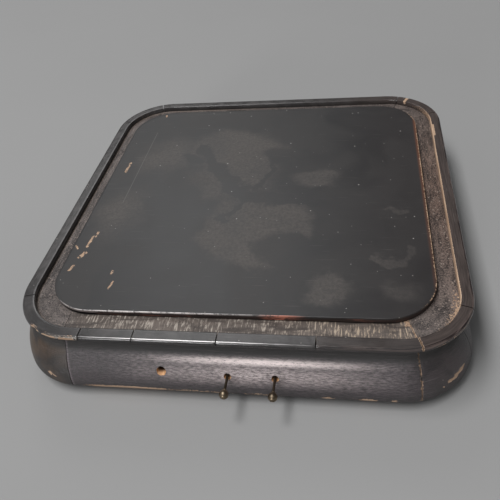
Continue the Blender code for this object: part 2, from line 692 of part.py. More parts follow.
def make_winding():
    """Arbor with its key square, ratchet wheel, click and the click's stud."""
    shaft_front = RATCHET_Y - WHEEL_THICKNESS
    shaft_back = MIDDLE_BRIDGE_Y + PLATE_THICKNESS / 2
    length = shaft_back - shaft_front
    arbor = turned("winding_arbor", [(0, length), (ARBOR_RADIUS, length), (ARBOR_RADIUS, 0), (0, 0)], STEEL,
                   (KEY_X, shaft_front, KEY_Z), ALONG_Y, 20)
    square_front = FACE_Y + KEY_SINK
    square_back = shaft_front + PLATE_SPACE
    bpy.ops.mesh.primitive_cube_add(size=1, location=(KEY_X, (square_front + square_back) / 2, KEY_Z))
    square = bpy.context.object
    square.scale = (SQUARE_SIDE, square_back - square_front, SQUARE_SIDE)
    combine(arbor, square, "UNION")
    wheel("ratchet_wheel", ratchet_outline(), ARBOR_RADIUS + SEAT_GAP, WHEEL_THICKNESS, STEEL,
          (KEY_X, RATCHET_Y, KEY_Z))
    nose_low = RATCHET_RADIUS + SEAT_GAP - CLICK_RISE
    outline = [(-CLICK_ACROSS, nose_low), *arc((0, 0), CLICK_EYE, *CLICK_EYE_ARC, 12),
               (-CLICK_ACROSS, nose_low + CLICK_NOSE)]
    plate("click", [outline, circle((0, 0), STUD_RADIUS + RUNNING_GAP, 14)], WHEEL_THICKNESS, STEEL,
          (CLICK_X, RATCHET_Y, CLICK_Z), UPRIGHT)
    stud_back = FRONT_COCK_Y - PLATE_THICKNESS / 2 - SEAT_GAP - (RATCHET_Y - WHEEL_THICKNESS)
    turned("click_stud", [(0, stud_back), (STUD_RADIUS, stud_back), (STUD_RADIUS, 0), (0, 0)], STEEL,
           (CLICK_X, RATCHET_Y - WHEEL_THICKNESS, CLICK_Z), ALONG_Y, 14)


def make_cylinder():
    """Cylinder with its lid, arbor, driven pinion and the wheel that turns the governor."""
    hole = CYLINDER_ARBOR_RADIUS + SEAT_GAP
    inside = CYLINDER_RADIUS - CYLINDER_WALL
    web = CYLINDER_LENGTH - BARREL_WEB
    axis = (CYLINDER_X, CYLINDER_FRONT, CYLINDER_Z)
    shell = [(hole, CYLINDER_LENGTH), (CYLINDER_RADIUS, CYLINDER_LENGTH), (CYLINDER_RADIUS, 0), (inside, 0),
             (inside, web), (hole, web)]
    turned("pinned_cylinder", shell, BRASS, axis, ALONG_Y, 28)
    turned("cylinder_lid", ring_profile(hole, inside - SEAT_GAP, 0, BARREL_WEB), BRASS, axis, ALONG_Y)
    leaves = gear_outline(CYLINDER_PINION_TEETH, DRIVE_MODULE, phase=0.5)
    leaved_arbor("cylinder_arbor", CYLINDER_ARBOR_RADIUS, REAR_BRIDGE_Y + PLATE_THICKNESS / 2,
                 (CYLINDER_X, GREAT_Y, CYLINDER_Z), leaves)
    teeth = gear_outline(CYLINDER_WHEEL_TEETH, DRIVE_MODULE,
                         phase=GOVERNOR_RISE / (2 * math.pi) * CYLINDER_WHEEL_TEETH)
    wheel("cylinder_wheel", teeth, hole, WHEEL_THICKNESS, BRASS, (CYLINDER_X, CYLINDER_WHEEL_Y, CYLINDER_Z))


def comb_outline():
    """Teeth along +X, longer towards the bass end at -Y."""
    pitch = COMB_LENGTH / COMB_TEETH
    points = []
    for tooth in range(COMB_TEETH):
        start = tooth * pitch - COMB_LENGTH / 2
        depth = COMB_BASS_TOOTH + (COMB_TREBLE_TOOTH - COMB_BASS_TOOTH) * (tooth + 1) / COMB_TEETH
        points += [(0, start), (0, start + pitch - COMB_SLOT)]
        if tooth < COMB_TEETH - 1:
            points += [(-depth, start + pitch - COMB_SLOT), (-depth, start + pitch)]
    heel = -COMB_BASS_TOOTH - COMB_HEEL
    points += [(heel, COMB_LENGTH / 2 - COMB_SLOT), (heel, -COMB_LENGTH / 2)]
    return points


def make_comb():
    """Steel comb, screwed down on a brass base so that its tips reach the cylinder's side."""
    tip_x = CYLINDER_X - CYLINDER_RADIUS - COMB_PIN_GAP
    middle_y = (CYLINDER_FRONT + CYLINDER_BACK) / 2
    screw_x = -COMB_BASS_TOOTH - COMB_HEEL / 2
    screws = [(screw_x, side * COMB_LENGTH / 3) for side in (-1, 1)]
    hole = COMB_SCREW_RADIUS + SEAT_GAP
    plate("comb", [comb_outline(), *(circle(place, hole, 12) for place in screws)], COMB_THICKNESS, STEEL,
          (tip_x, middle_y, CYLINDER_Z))
    base_top = CYLINDER_Z - COMB_THICKNESS / 2 - SEAT_GAP
    half = COMB_LENGTH / 2
    base = rounded_rectangle(-COMB_BASS_TOOTH - COMB_HEEL, -half, -COMB_BASS_TOOTH, half, COMB_BASE_CORNER, 2)
    plate("comb_base", [base, *(circle(place, hole, 12) for place in screws)], base_top - PLATE_FOOT, BRASS,
          (tip_x, middle_y, (base_top + PLATE_FOOT) / 2))
    seat_z = CYLINDER_Z + COMB_THICKNESS / 2 + SEAT_GAP
    head = [(0, COMB_SCREW_HEAD_HEIGHT), (COMB_SCREW_HEAD, COMB_SCREW_HEAD_HEIGHT), (COMB_SCREW_HEAD, 0)]
    shank = [(COMB_SCREW_RADIUS, 0), (COMB_SCREW_RADIUS, -COMB_SCREW_LENGTH), (0, -COMB_SCREW_LENGTH)]
    for number, (x, y) in enumerate(screws, 1):
        turned(f"comb_screw_{number}", head + shank, STEEL, (tip_x + x, middle_y + y, seat_z), steps=12)


def screw_thread():
    """Helix round the endless screw, with a gap between turns facing the governor wheel's tooth."""
    points = []
    steps = THREAD_TURNS * 10
    radius = SCREW_CORE_RADIUS + THREAD_RADIUS / 2
    for step in range(steps + 1):
        turn = THREAD_TURNS * (step / steps - 0.5)
        angle = 2 * math.pi * turn
        points.append((SCREW_X + radius * math.cos(angle), SCREW_Y + radius * math.sin(angle),
                       GOVERNOR_Z + SCREW_LEAD * turn))
    return as_mesh(tube("screw_thread", points, THREAD_RADIUS, STEEL, 0))


def make_governor():
    """Governor arbor and wheel, endless screw with its brake disc, fly, and their bearings."""
    hole = GOVERNOR_ARBOR_RADIUS + SEAT_GAP
    phase = (0.5 + GOVERNOR_RISE / (2 * math.pi)) * GOVERNOR_PINION_TEETH + 0.5
    leaved_arbor("governor_arbor", GOVERNOR_ARBOR_RADIUS, GOVERNOR_COCK_Y + PLATE_THICKNESS / 2,
                 (GOVERNOR_X, CYLINDER_WHEEL_Y, GOVERNOR_Z),
                 gear_outline(GOVERNOR_PINION_TEETH, DRIVE_MODULE, phase=phase))
    wheel("governor_wheel", gear_outline(GOVERNOR_WHEEL_TEETH, TRAIN_MODULE), hole, FINE_WHEEL_THICKNESS,
          BRASS, (GOVERNOR_X, SCREW_Y, GOVERNOR_Z))
    foot_top = PLATE_FOOT + FOOT_HEIGHT
    pivot_low = foot_top - FOOT_HEIGHT / 2
    half_thread = SCREW_LEAD * THREAD_TURNS / 2 + THREAD_RADIUS
    disc_low = PULL_Z - BRAKE_THICKNESS / 2
    fly_top = FLY_Z + FLY_HEIGHT
    profile = [(0, fly_top), (SCREW_ARBOR_RADIUS, fly_top), (SCREW_ARBOR_RADIUS, GOVERNOR_Z + half_thread),
               (SCREW_CORE_RADIUS, GOVERNOR_Z + half_thread), (SCREW_CORE_RADIUS, GOVERNOR_Z - half_thread),
               (SCREW_ARBOR_RADIUS, GOVERNOR_Z - half_thread),
               (SCREW_ARBOR_RADIUS, disc_low + BRAKE_THICKNESS), (BRAKE_RADIUS, disc_low + BRAKE_THICKNESS),
               (BRAKE_RADIUS, disc_low), (SCREW_ARBOR_RADIUS, disc_low), (SCREW_ARBOR_RADIUS, pivot_low),
               (0, pivot_low)]
    screw = turned("endless_screw", profile, STEEL, (SCREW_X, SCREW_Y, 0), steps=16)
    combine(screw, screw_thread(), "UNION")
    pivot_hole = SCREW_ARBOR_RADIUS + RUNNING_GAP
    bearing = [(0, pivot_low - RUNNING_GAP), (pivot_hole, pivot_low - RUNNING_GAP), (pivot_hole, foot_top),
               (FOOT_RADIUS, foot_top), (FOOT_RADIUS, PLATE_FOOT), (0, PLATE_FOOT)]
    turned("screw_foot", bearing, BRASS, (SCREW_X, SCREW_Y, 0), steps=16)
    arm_front = SCREW_Y - FOOT_RADIUS
    arm_back = GOVERNOR_COCK_Y + PLATE_THICKNESS / 2
    arm = rounded_rectangle(SCREW_X - SCREW_PITCH_RADIUS, arm_front, SCREW_X + SCREW_PITCH_RADIUS, arm_back,
                            COCK_CORNER, 4)
    plate("screw_cock", [arm, circle((SCREW_X, SCREW_Y), pivot_hole, 14)], PLATE_THICKNESS, BRASS,
          (0, 0, SCREW_COCK_Z + PLATE_THICKNESS / 2))
    hub_angle = math.degrees(math.asin(FLY_THICKNESS / 2 / FLY_HUB))
    vane = FLY_THICKNESS / 2
    outline = [(FLY_RADIUS, -vane), (FLY_RADIUS, vane), *arc((0, 0), FLY_HUB, hub_angle, 180 - hub_angle, 8),
               (-FLY_RADIUS, vane), (-FLY_RADIUS, -vane),
               *arc((0, 0), FLY_HUB, 180 + hub_angle, 360 - hub_angle, 8)]
    plate("fly", [outline, circle((0, 0), SCREW_ARBOR_RADIUS + SEAT_GAP, 12)], FLY_HEIGHT, BRASS,
          (SCREW_X, SCREW_Y, FLY_Z + FLY_HEIGHT / 2))


def make_change_lever():
    """Lever on a post: the pull rod's eye turns it, and its nose nudges the cylinder's arbor."""
    nose_arm = LEVER_PIVOT_X - CYLINDER_X
    swing = math.asin(CHANGE_TRAVEL / LEVER_ARM)
    nose_y = CYLINDER_ARBOR_FRONT - NOSE_STOP - nose_arm * math.sin(swing) - LEVER_Y
    width = LEVER_HALF_WIDTH
    outline = [(-nose_arm - width, -width), *arc((LEVER_ARM, 0), width, -90, 90, 6),
               (-nose_arm + width, width), (-nose_arm + width / 2, nose_y), (-nose_arm - width / 2, nose_y),
               (-nose_arm - width, width)]
    middle_z = LEVER_Z + LEVER_THICKNESS / 2
    pivot = circle((0, 0), LEVER_PIVOT_RADIUS + RUNNING_GAP, 14)
    lever = plate("change_lever", [outline, pivot], LEVER_THICKNESS, STEEL,
                  (LEVER_PIVOT_X, LEVER_Y, middle_z))
    bpy.context.view_layer.update()
    lever = as_mesh(lever)
    pin_low = PULL_Z - 2 * PULL_RADIUS
    bpy.ops.mesh.primitive_cylinder_add(vertices=12, radius=LEVER_PIN_RADIUS, depth=middle_z - pin_low,
                                        location=(CHANGE_X, LEVER_Y, (middle_z + pin_low) / 2))
    combine(lever, bpy.context.object, "UNION")
    shoulder = LEVER_Z - RUNNING_GAP
    top = LEVER_Z + LEVER_THICKNESS + RUNNING_GAP
    wide = LEVER_PIVOT_RADIUS * 2
    profile = [(0, top), (LEVER_PIVOT_RADIUS, top), (LEVER_PIVOT_RADIUS, shoulder), (wide, shoulder),
               (wide, PLATE_FOOT), (0, PLATE_FOOT)]
    turned("lever_post", profile, BRASS, (LEVER_PIVOT_X, LEVER_Y, 0), steps=16)


make_frame()
make_lip()
make_boards()
make_pulls()
make_bed()
make_barrel()
make_winding()
make_cylinder()
make_comb()
make_governor()
make_change_lever()
bpy.context.view_layer.update()
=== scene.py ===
"""Looks of a worn, ebonised musical plinth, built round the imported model. Lengths are in metres."""

import random
from collections import namedtuple
from functools import partial, partialmethod, reduce
from math import asin, cos, dist, pi, radians, sin

import bmesh
import bpy
from mathutils import Matrix, Vector, noise


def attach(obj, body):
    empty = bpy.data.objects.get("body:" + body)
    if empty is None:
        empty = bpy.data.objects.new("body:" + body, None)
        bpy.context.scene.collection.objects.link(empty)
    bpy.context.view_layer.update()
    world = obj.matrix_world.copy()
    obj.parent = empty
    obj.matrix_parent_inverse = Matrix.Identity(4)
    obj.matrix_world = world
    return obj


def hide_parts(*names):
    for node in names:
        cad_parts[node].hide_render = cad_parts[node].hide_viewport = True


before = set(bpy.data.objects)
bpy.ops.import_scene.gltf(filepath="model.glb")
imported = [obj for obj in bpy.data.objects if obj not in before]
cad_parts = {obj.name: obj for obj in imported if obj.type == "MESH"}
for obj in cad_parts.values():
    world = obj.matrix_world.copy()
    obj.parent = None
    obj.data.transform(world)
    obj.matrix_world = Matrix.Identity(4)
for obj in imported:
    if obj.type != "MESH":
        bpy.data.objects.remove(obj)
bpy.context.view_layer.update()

MM = 0.001
SCENE = bpy.context.scene


def mm(*lengths):
    """Lengths written in millimetres."""
    return tuple(length * MM for length in lengths)


# Outer edges of the case and of its lip, seen from above
HALF = 200 * MM
CASE_CORNER = 58 * MM
LIP_CORNER = 62 * MM
LIP_SHIFT = Vector(mm(3.2, -1.6))

# Seams: their gaps, how far into a corner they lie in tenths of it, and those along the lip's front
SEAM_GAP = 0.6 * MM
LIP_SEAM_GAP = 1 * MM
CORNER_STEPS = 10
SEAM_STEPS = 1.8
FRONT_LEFT_STEPS = 0.2
LIP_FRONT_SEAMS = mm(10.8, 58.8, 130.8, 211.4)

# Heights and widths of the frame, lip and board
CLEARANCE = 0.3 * MM
LEDGE_Z = 66 * MM
FRAME_DEPTH = 46 * MM
BULGE = mm(6.5, 13.5)
LIP_FOOT = BOARD_FOOT = LEDGE_Z + CLEARANCE
TOP_Z = 72 * MM
LIP_WIDTH = 11.4 * MM
BOARD_THICK = 6 * MM
BOARD_TOP = BOARD_FOOT + BOARD_THICK
BOARD_MIDDLE = Vector(mm(1.7, 0.3))
BOARD_HALF = mm(173.2, 171.6)
BOARD_CORNER = 45 * MM

# Holes of the front, and the pulls in two of them
FACE_Y = -HALF - BULGE[0]
KEY_HOLE = Vector((-57.5 * MM, FACE_Y, 33 * MM))
KEY_HOLE_RADIUS = 4 * MM
ROD_HOLE_RADIUS = 3 * MM
PULLS = {"start": 0.5 * MM, "change": 41 * MM}
PULL_Z = 30.5 * MM
BALL_RADIUS = 4 * MM
BALL_REACH = 14 * MM


class Edge:
    """An outer edge with straight sides and round corners. A run is a length along it, counter-clockwise
    from the front's left end."""

    def __init__(self, radius, shift=Vector((0, 0))):
        self.radius = radius
        self.shift = shift
        self.straight = HALF - radius
        self.side = 2 * self.straight
        self.quarter = self.side + radius * pi / 2
        self.step = radius * pi / 2 / CORNER_STEPS
        self.seam = self.step * SEAM_STEPS
        self.side_end = self.side + self.seam

    def point(self, run):
        """Place on the edge and the direction out from it."""
        quarter, along = divmod(run, self.quarter)
        angle = max(0, along - self.side) / self.radius
        flat = Vector((min(along, self.side) - self.straight + self.radius * sin(angle),
                       -self.straight - self.radius * cos(angle)))
        turn = quarter * pi / 2
        out = Vector((sin(angle + turn), -cos(angle + turn)))
        return Matrix.Rotation(turn, 2) @ flat + self.shift, out


FRAME_EDGE = Edge(CASE_CORNER)
LIP_EDGE = Edge(LIP_CORNER, LIP_SHIFT)


# Node materials

class Graph:
    """Short way to write a material or a sky in nodes. Most calls add nodes and give their output.
    Colours are in thousandths of red, green and blue."""

    def __init__(self, name, home="materials"):
        self.owner = getattr(bpy.data, home).new(name)
        self.owner.use_nodes = True
        self.tree = self.owner.node_tree
        self.tree.nodes.clear()

    def put(self, socket, value):
        if isinstance(value, bpy.types.NodeSocket):
            self.tree.links.new(value, socket)
        elif socket.type == "RGBA":
            socket.default_value = (*(part / 1000 for part in value), 1)
        else:
            socket.default_value = value

    def add(self, kind, inputs=None, output=0, **settings):
        node = self.tree.nodes.new("ShaderNode" + kind)
        for key, value in settings.items():
            setattr(node, key, value)
        for key, value in (inputs or {}).items():
            self.put(node.inputs[key], value)
        return node.outputs[output]

    def uv(self):
        return self.add("UVMap")

    def place(self):
        return self.add("TexCoord", output="Object")

    def part(self, where, axis):
        return self.add("SeparateXYZ", {"Vector": where}, output=axis)

    def stretch(self, where, scales, turn=(0, 0, 0)):
        return self.add("Mapping", {"Vector": where, "Rotation": turn, "Scale": scales})

    def cloud(self, where, scale, detail, rough, warp=0):
        return self.add("TexNoise", {"Vector": where, "Scale": scale, "Detail": detail, "Roughness": rough,
                                     "Distortion": warp})

    def streaks(self, where, scales, detail, rough, warp=0, turn=(0, 0, 0)):
        """Noise with a scale of its own along each axis."""
        return self.cloud(self.stretch(where, scales, turn), 1, detail, rough, warp)

    def fit(self, value, low, high, to_low=0, to_high=1):
        return self.add("MapRange", {"Value": value, "From Min": low, "From Max": high, "To Min": to_low,
                                     "To Max": to_high}, interpolation_type="SMOOTHSTEP")

    def math(self, operation, first, second=0):
        return self.add("Math", {0: first, 1: second}, operation=operation)

    plus = partialmethod(math, "ADD")
    minus = partialmethod(math, "SUBTRACT")
    most = partialmethod(math, "MAXIMUM")

    def times(self, *values):
        return reduce(partial(self.math, "MULTIPLY"), values)

    def vector(self, operation, first, second=(0, 0, 0), output="Vector"):
        return self.add("VectorMath", {0: first, 1: second}, output=output, operation=operation)

    def mix(self, share, first, second):
        return self.add("Mix", {0: share, 6: first, 7: second}, output=2, data_type="RGBA")

    def shades(self, value, low, high, first, second):
        """From one colour to another as a value goes from low to high."""
        return self.mix(self.fit(value, low, high), first, second)

    def away(self, value, middle):
        return self.math("ABSOLUTE", self.minus(value, middle))

    def hump(self, value, middle, reach):
        """One at the middle, falling softly to nothing at the reach."""
        return self.fit(self.away(value, middle), reach, 0)

    def specks(self, where, scale, kept, size):
        """Small round marks in a share of the cells of a grid."""
        cells = self.add("TexVoronoi", {"Vector": where, "Scale": scale}).node
        chosen = self.fit(cells.outputs["Color"], 1 - kept, 1 - kept + 0.01)
        return self.times(chosen, self.fit(cells.outputs["Distance"], size, size * 0.4))

    def blotch(self, where, x, y, wide, deep, turn, soft):
        """A soft oval patch on the board, in millimetres."""
        moved = self.vector("SUBTRACT", where, (*mm(x, y), BOARD_TOP))
        spun = self.add("VectorRotate", {"Vector": moved, "Angle": turn}, rotation_type="Z_AXIS")
        scaled = self.vector("MULTIPLY", spun, (1 / (wide * MM), 1 / (deep * MM), 0))
        return self.fit(self.vector("LENGTH", scaled, output="Value"), 1, 1 - soft)

    def stroke(self, where, start, end, wide):
        """A soft band along a straight line on the board, in millimetres."""
        line = Vector((end[0] - start[0], end[1] - start[1], 0)) * MM
        moved = self.vector("SUBTRACT", where, (*mm(*start), BOARD_TOP))
        along = self.vector("DOT_PRODUCT", moved, tuple(line / line.length_squared), "Value")
        share = self.add("Math", {0: along, 1: 1}, operation="MULTIPLY", use_clamp=True)
        foot = self.add("VectorMath", {0: tuple(line), "Scale": share}, operation="SCALE")
        distance = self.vector("DISTANCE", moved, foot, "Value")
        return self.fit(distance, wide * MM, wide * MM * 0.45)

    def all_of(self, draw, where, marks):
        """The strongest of many marks that one function draws."""
        return reduce(self.most, [draw(where, *mark) for mark in marks])

    def outside(self, where, middle, half, radius):
        """Distance outside a rounded rectangle seen from above, negative inside it."""
        moved = self.vector("SUBTRACT", where, (*middle, 0))
        # The last number is more than any height, so heights don't count
        core = (half[0] - radius, half[1] - radius, 1)
        past = self.vector("SUBTRACT", self.vector("ABSOLUTE", moved), core)
        reach = self.vector("LENGTH", self.vector("MAXIMUM", past), output="Value")
        return self.minus(reach, radius)

    def bump(self, height, strength, distance):
        return self.add("Bump", {"Height": height, "Strength": strength, "Distance": distance})

    def coat(self, colour, *amounts):
        """Another colour over what is there, by the product of the amounts."""
        self.colour = self.mix(self.times(*amounts), self.colour, colour)

    def output(self, kind, surface):
        self.put(self.tree.nodes.new("ShaderNodeOutput" + kind).inputs["Surface"], surface)
        return self.owner

    def finish(self, roughness, normal=None, metallic=0, specular=0.5):
        shader = self.add("BsdfPrincipled", {"Base Color": self.colour, "Roughness": roughness,
                                             "Metallic": metallic, "Specular IOR Level": specular})
        if normal is not None:
            self.put(shader.node.inputs["Normal"], normal)
        return self.output("Material", shader)


def bare_wood(g, where):
    """Raw tan wood under the black finish."""
    grain = g.streaks(where, (25, 900, 900), 5, 0.6)
    return g.shades(grain, 0.3, 0.7, (240, 140, 85), (550, 390, 270))


def worn_mask(g, where, scale=420):
    """Where the finish is worn or chipped away: painted amount with a ragged edge."""
    ragged = g.minus(g.cloud(where, scale, 6, 0.65), 0.5)
    bare = g.add("Attribute", output="Fac", attribute_name="bare")
    return g.fit(g.plus(bare, g.times(ragged, 1.3)), 0.46, 0.58)


# Places on the sides, along the edge or down from the cove's top: middle and reach, or from and to
DULLED_AND_SHEEN_MIDDLE = 150 * MM
DULLED_AND_SHEEN_REACH = mm(175, 135)
BROWN_CORNER = mm(1460, 110)
MOTTLED_CORNER = mm(360, 85)
LEFT_SEAM = mm(-1.5, 2.6)
# Painted highlights on the front face: along the edge, and down the profile
PAINTED_HIGHLIGHT_ALONG = mm(166, 142)
UPPER_PAINTED_HIGHLIGHT = mm(24.6, 7.5)
LOWER_PAINTED_HIGHLIGHT = mm(36, 16)
HIGHLIGHT_STREAK_ALONG = mm(172, 105)
HIGHLIGHT_STREAK_DOWN = mm(24, 4.2)
COVE_SHADE = mm(22.5, 15.5)
FOOT_SHADE = mm(45, 58)


def face_stain(g, along, clouds, grit):
    """The finish before its polish and painted highlights: black, brown at the left corner, mottled at the
    right one, and along the front a grainy violet grey that is partly a dulled finish and partly painted
    sheen."""
    black = g.shades(clouds, 0.3, 0.7, (20, 16, 16), (34, 27, 27))
    brown = g.shades(clouds, 0.38, 0.62, (9, 5, 4), (46, 26, 13))
    mottled = g.shades(clouds, 0.38, 0.62, (9, 7, 8), (46, 33, 35))
    black = g.mix(g.hump(along, *BROWN_CORNER), black, brown)
    black = g.mix(g.hump(along, *MOTTLED_CORNER), black, mottled)
    # Grainy violet grey along the front: partly a dulled finish, partly painted sheen
    dull = g.shades(grit, 0.41, 0.61, (16, 12.5, 14), (76, 59, 66))
    front = g.fit(g.away(along, DULLED_AND_SHEEN_MIDDLE), *DULLED_AND_SHEEN_REACH)
    return g.mix(g.times(front, g.fit(clouds, 0.2, 0.6, 0.6, 1)), black, dull)


def make_face():
    """Black stain and polish on the sides: a grey along the front that is partly painted sheen, two painted
    highlights about the pulls where the polish is also smoother, a painted highlight streak, painted shade
    in the cove and at the foot, scuffs, and pale along the front's left seam."""
    g = Graph("ebonised_face")
    run = g.uv()
    along = g.part(run, "X")
    down = g.part(run, "Y")
    clouds = g.cloud(run, 38, 5, 0.6, 0.6)
    grit = g.streaks(run, (190, 880, 1), 5, 0.8)
    scratches = g.streaks(run, (22, 1300, 1), 3, 0.6)
    g.colour = face_stain(g, along, clouds, grit)
    # Painted highlights: two bright strips about the pulls, where the polish is also smoother, and a crisp
    # streak in the upper one
    bands = g.most(g.hump(down, *UPPER_PAINTED_HIGHLIGHT), g.times(g.hump(down, *LOWER_PAINTED_HIGHLIGHT), 0.78))
    polish_and_painted_highlight = g.times(bands, g.hump(along, *PAINTED_HIGHLIGHT_ALONG), g.fit(clouds, 0.25, 0.55, 0.6, 1))
    g.coat(g.shades(grit, 0.36, 0.66, (130, 107, 110), (780, 665, 655)), polish_and_painted_highlight)
    g.coat((900, 780, 765), g.hump(down, *HIGHLIGHT_STREAK_DOWN), g.hump(along, *HIGHLIGHT_STREAK_ALONG), g.fit(grit, 0.28, 0.5))
    # Painted shade: darker in the cove under the lip and, at half strength, at the foot
    shade = g.most(g.fit(down, *COVE_SHADE), g.times(g.fit(down, *FOOT_SHADE), 0.5))
    g.coat((13, 11.5, 11), shade, 0.9)
    g.coat((200, 175, 175), g.fit(scratches, 0.58, 0.7), g.fit(clouds, 0.35, 0.6), 0.5)
    g.coat((340, 310, 290), g.specks(run, 330, 0.1, 0.22), 0.5)
    g.coat((260, 215, 235), g.hump(along, *LEFT_SEAM), g.fit(grit, 0.4, 0.6, 0.08, 0.7))
    worn = worn_mask(g, run)
    g.coat(bare_wood(g, run), worn)
    rough = g.fit(g.plus(g.times(clouds, 0.5), g.times(grit, 0.6)), 0.35, 0.75, 0.31, 0.42)
    rough = g.minus(rough, g.times(polish_and_painted_highlight, 0.1))
    rough = g.plus(rough, g.times(g.most(worn, shade), 0.3))
    height = g.plus(g.times(grit, 0.9), g.times(scratches, 0.5))
    return g.finish(rough, g.bump(g.minus(height, worn), 0.7, 0.7 * MM), specular=0.8)


# Places on the lip, along its edge or down from its top arris: middle and reach, or from and to
LIP_HALF_BROWN = mm(210.8, 212.2)
LIP_BROWN_FROM = mm(289, 296)
LIP_BROWN_TO = mm(860, 700)
LIP_LINED = mm(10, 7)
LIP_NOSE_PAINTED_SHADE = mm(4.7, 3.4)
LIP_ARRIS_HIGHLIGHT_DOWN = mm(0.8, 0.7)
LIP_ARRIS_HIGHLIGHT_ALONG = mm(100, 115)
LIP_BROKEN_FROM = mm(1472, 1482)
LIP_BROKEN_DOWN = mm(3, 3)


def make_lip():
    """Black polish on the lip: greyer and smoother than the sides, brown and lined at the right, with a
    painted highlight on its front arris and painted shade under its nose, and broken at its left corner."""
    g = Graph("ebonised_lip")
    run = g.uv()
    along = g.part(run, "X")
    down = g.part(run, "Y")
    clouds = g.cloud(run, 60, 5, 0.6, 0.5)
    grit = g.streaks(run, (500, 1100, 1), 3, 0.7)
    scratches = g.streaks(run, (24, 1300, 1), 3, 0.6)
    layers = g.streaks(run, (34, 620, 1), 5, 0.7)
    splits = g.streaks(run, (230, 800, 1), 5, 0.75, 0.6)
    right = g.most(g.fit(along, *LIP_BROWN_FROM), g.fit(along, *LIP_HALF_BROWN, 0, 0.5))
    right = g.times(right, g.fit(along, *LIP_BROWN_TO))
    g.colour = g.shades(clouds, 0.35, 0.7, (36, 34, 34), (62, 58, 58))
    plain = g.shades(layers, 0.3, 0.7, (34, 27, 25), (74, 58, 53))
    lined = g.shades(layers, 0.42, 0.6, (14, 10, 10), (100, 76, 69))
    g.coat(g.mix(g.fit(down, *LIP_LINED), plain, lined), right)
    # Painted shade: dark under the nose's highlight, less at the right
    g.coat((12, 11, 11), g.hump(down, *LIP_NOSE_PAINTED_SHADE), g.fit(right, 0, 1, 0.85, 0.2))
    # Painted highlight: a near-white line along the lip's front arris
    arris = g.times(g.hump(down, *LIP_ARRIS_HIGHLIGHT_DOWN), g.hump(along, *LIP_ARRIS_HIGHLIGHT_ALONG))
    g.coat((860, 820, 810), arris, g.fit(clouds, 0.25, 0.5, 0.45, 0.9))
    g.coat((200, 180, 170), g.fit(scratches, 0.62, 0.72), 0.4)
    g.coat((360, 330, 310), g.specks(run, 260, 0.12, 0.2), 0.6)
    broken = g.times(g.fit(along, *LIP_BROKEN_FROM), g.hump(down, *LIP_BROKEN_DOWN))
    splinters = g.shades(grit, 0.38, 0.62, (90, 75, 65), (600, 540, 470))
    g.coat(splinters, broken, g.fit(splits, 0.46, 0.54))
    worn = worn_mask(g, run, 850)
    g.coat(bare_wood(g, run), worn)
    rough = g.fit(g.plus(g.times(clouds, 0.6), g.times(grit, 0.4)), 0.3, 0.7, 0.12, 0.2)
    rough = g.plus(rough, g.times(worn, 0.35))
    height = g.plus(g.times(grit, 0.4), g.minus(g.times(scratches, 0.4), worn))
    return g.finish(rough, g.bump(height, 0.4, 0.4 * MM))


# Places on the ledge, along the edge, across the case, or out from the lip or the board
LEDGE_FRONT_MIDDLE = 152 * MM
LEDGE_FRONT_REACH = mm(165, 135)
LEDGE_RED = mm(530, 280)
LEDGE_WARM_FROM = mm(150, 270)
BESIDE_LIP = mm(-1, 2)
BESIDE_LIP_X = mm(50, -100)
PAINTED_SHADE_UNDER_BOARD = mm(-0.2, -1.4)


def make_ledge():
    """Scraped strip between lip and board: brown-grey, redder at the right, with short pale scrapes across
    it along the front. Where the board covers it, and in the gap under the board's raised corner, it is
    painted near-black as shade."""
    g = Graph("scraped_ledge")
    run = g.uv()
    where = g.place()
    along = g.part(run, "X")
    streaks = g.streaks(run, (560, 95, 1), 5, 0.7, 0.5)
    patches = g.streaks(run, (30, 130, 1), 5, 0.65, 0.8)
    grit = g.cloud(run, 700, 4, 0.7)
    front = g.fit(g.away(along, LEDGE_FRONT_MIDDLE), *LEDGE_FRONT_REACH)
    spread = g.plus(g.times(patches, 0.35), g.times(grit, 0.65))
    dull = g.shades(spread, 0.42, 0.58, (24, 20, 20), (155, 131, 122))
    red = g.shades(spread, 0.42, 0.58, (16, 11, 9), (146, 97, 77))
    scraped = g.shades(patches, 0.3, 0.7, (56, 45, 40), (138, 112, 97))
    g.colour = g.mix(front, g.mix(g.hump(along, *LEDGE_RED), dull, red), scraped)
    scrape = g.mix(g.fit(along, *LEDGE_WARM_FROM), (390, 345, 300), (440, 345, 255))
    g.coat(scrape, g.fit(streaks, 0.51, 0.62), g.fit(patches, 0.36, 0.54), g.fit(front, 0, 1, 0.05, 0.95))
    g.coat((26, 20, 18), g.fit(streaks, 0.44, 0.3), g.fit(front, 0, 1, 0, 0.7))
    g.coat((200, 170, 150), g.fit(grit, 0.55, 0.75, 0, 0.35))
    dust = g.most(g.specks(run, 420, 0.3, 0.42), g.specks(g.stretch(run, (420, 130, 1)), 1, 0.05, 0.3))
    g.coat((360, 295, 250), dust, g.fit(front, 0, 1, 0.6, 0.15))
    inner_half = HALF - LIP_WIDTH
    beside = g.outside(where, LIP_SHIFT, (inner_half, inner_half), LIP_CORNER - LIP_WIDTH)
    beside = g.times(g.hump(beside, *BESIDE_LIP), g.fit(grit, 0.35, 0.6))
    g.coat((300, 240, 200), beside, g.fit(g.part(where, "X"), *BESIDE_LIP_X), 0.75)
    g.coat(bare_wood(g, run), worn_mask(g, run))
    # Painted shade: near-black under the board and in the gap under its raised corner
    under_board_shade = g.fit(g.outside(where, BOARD_MIDDLE, BOARD_HALF, BOARD_CORNER), *PAINTED_SHADE_UNDER_BOARD)
    g.coat(g.shades(grit, 0.3, 0.7, (5, 4.2, 4), (12, 10, 9.5)), under_board_shade)
    height = g.plus(streaks, g.times(grit, 0.5))
    return g.finish(g.fit(streaks, 0.3, 0.7, 0.45, 0.62), g.bump(height, 0.5, 0.6 * MM), specular=0.4)


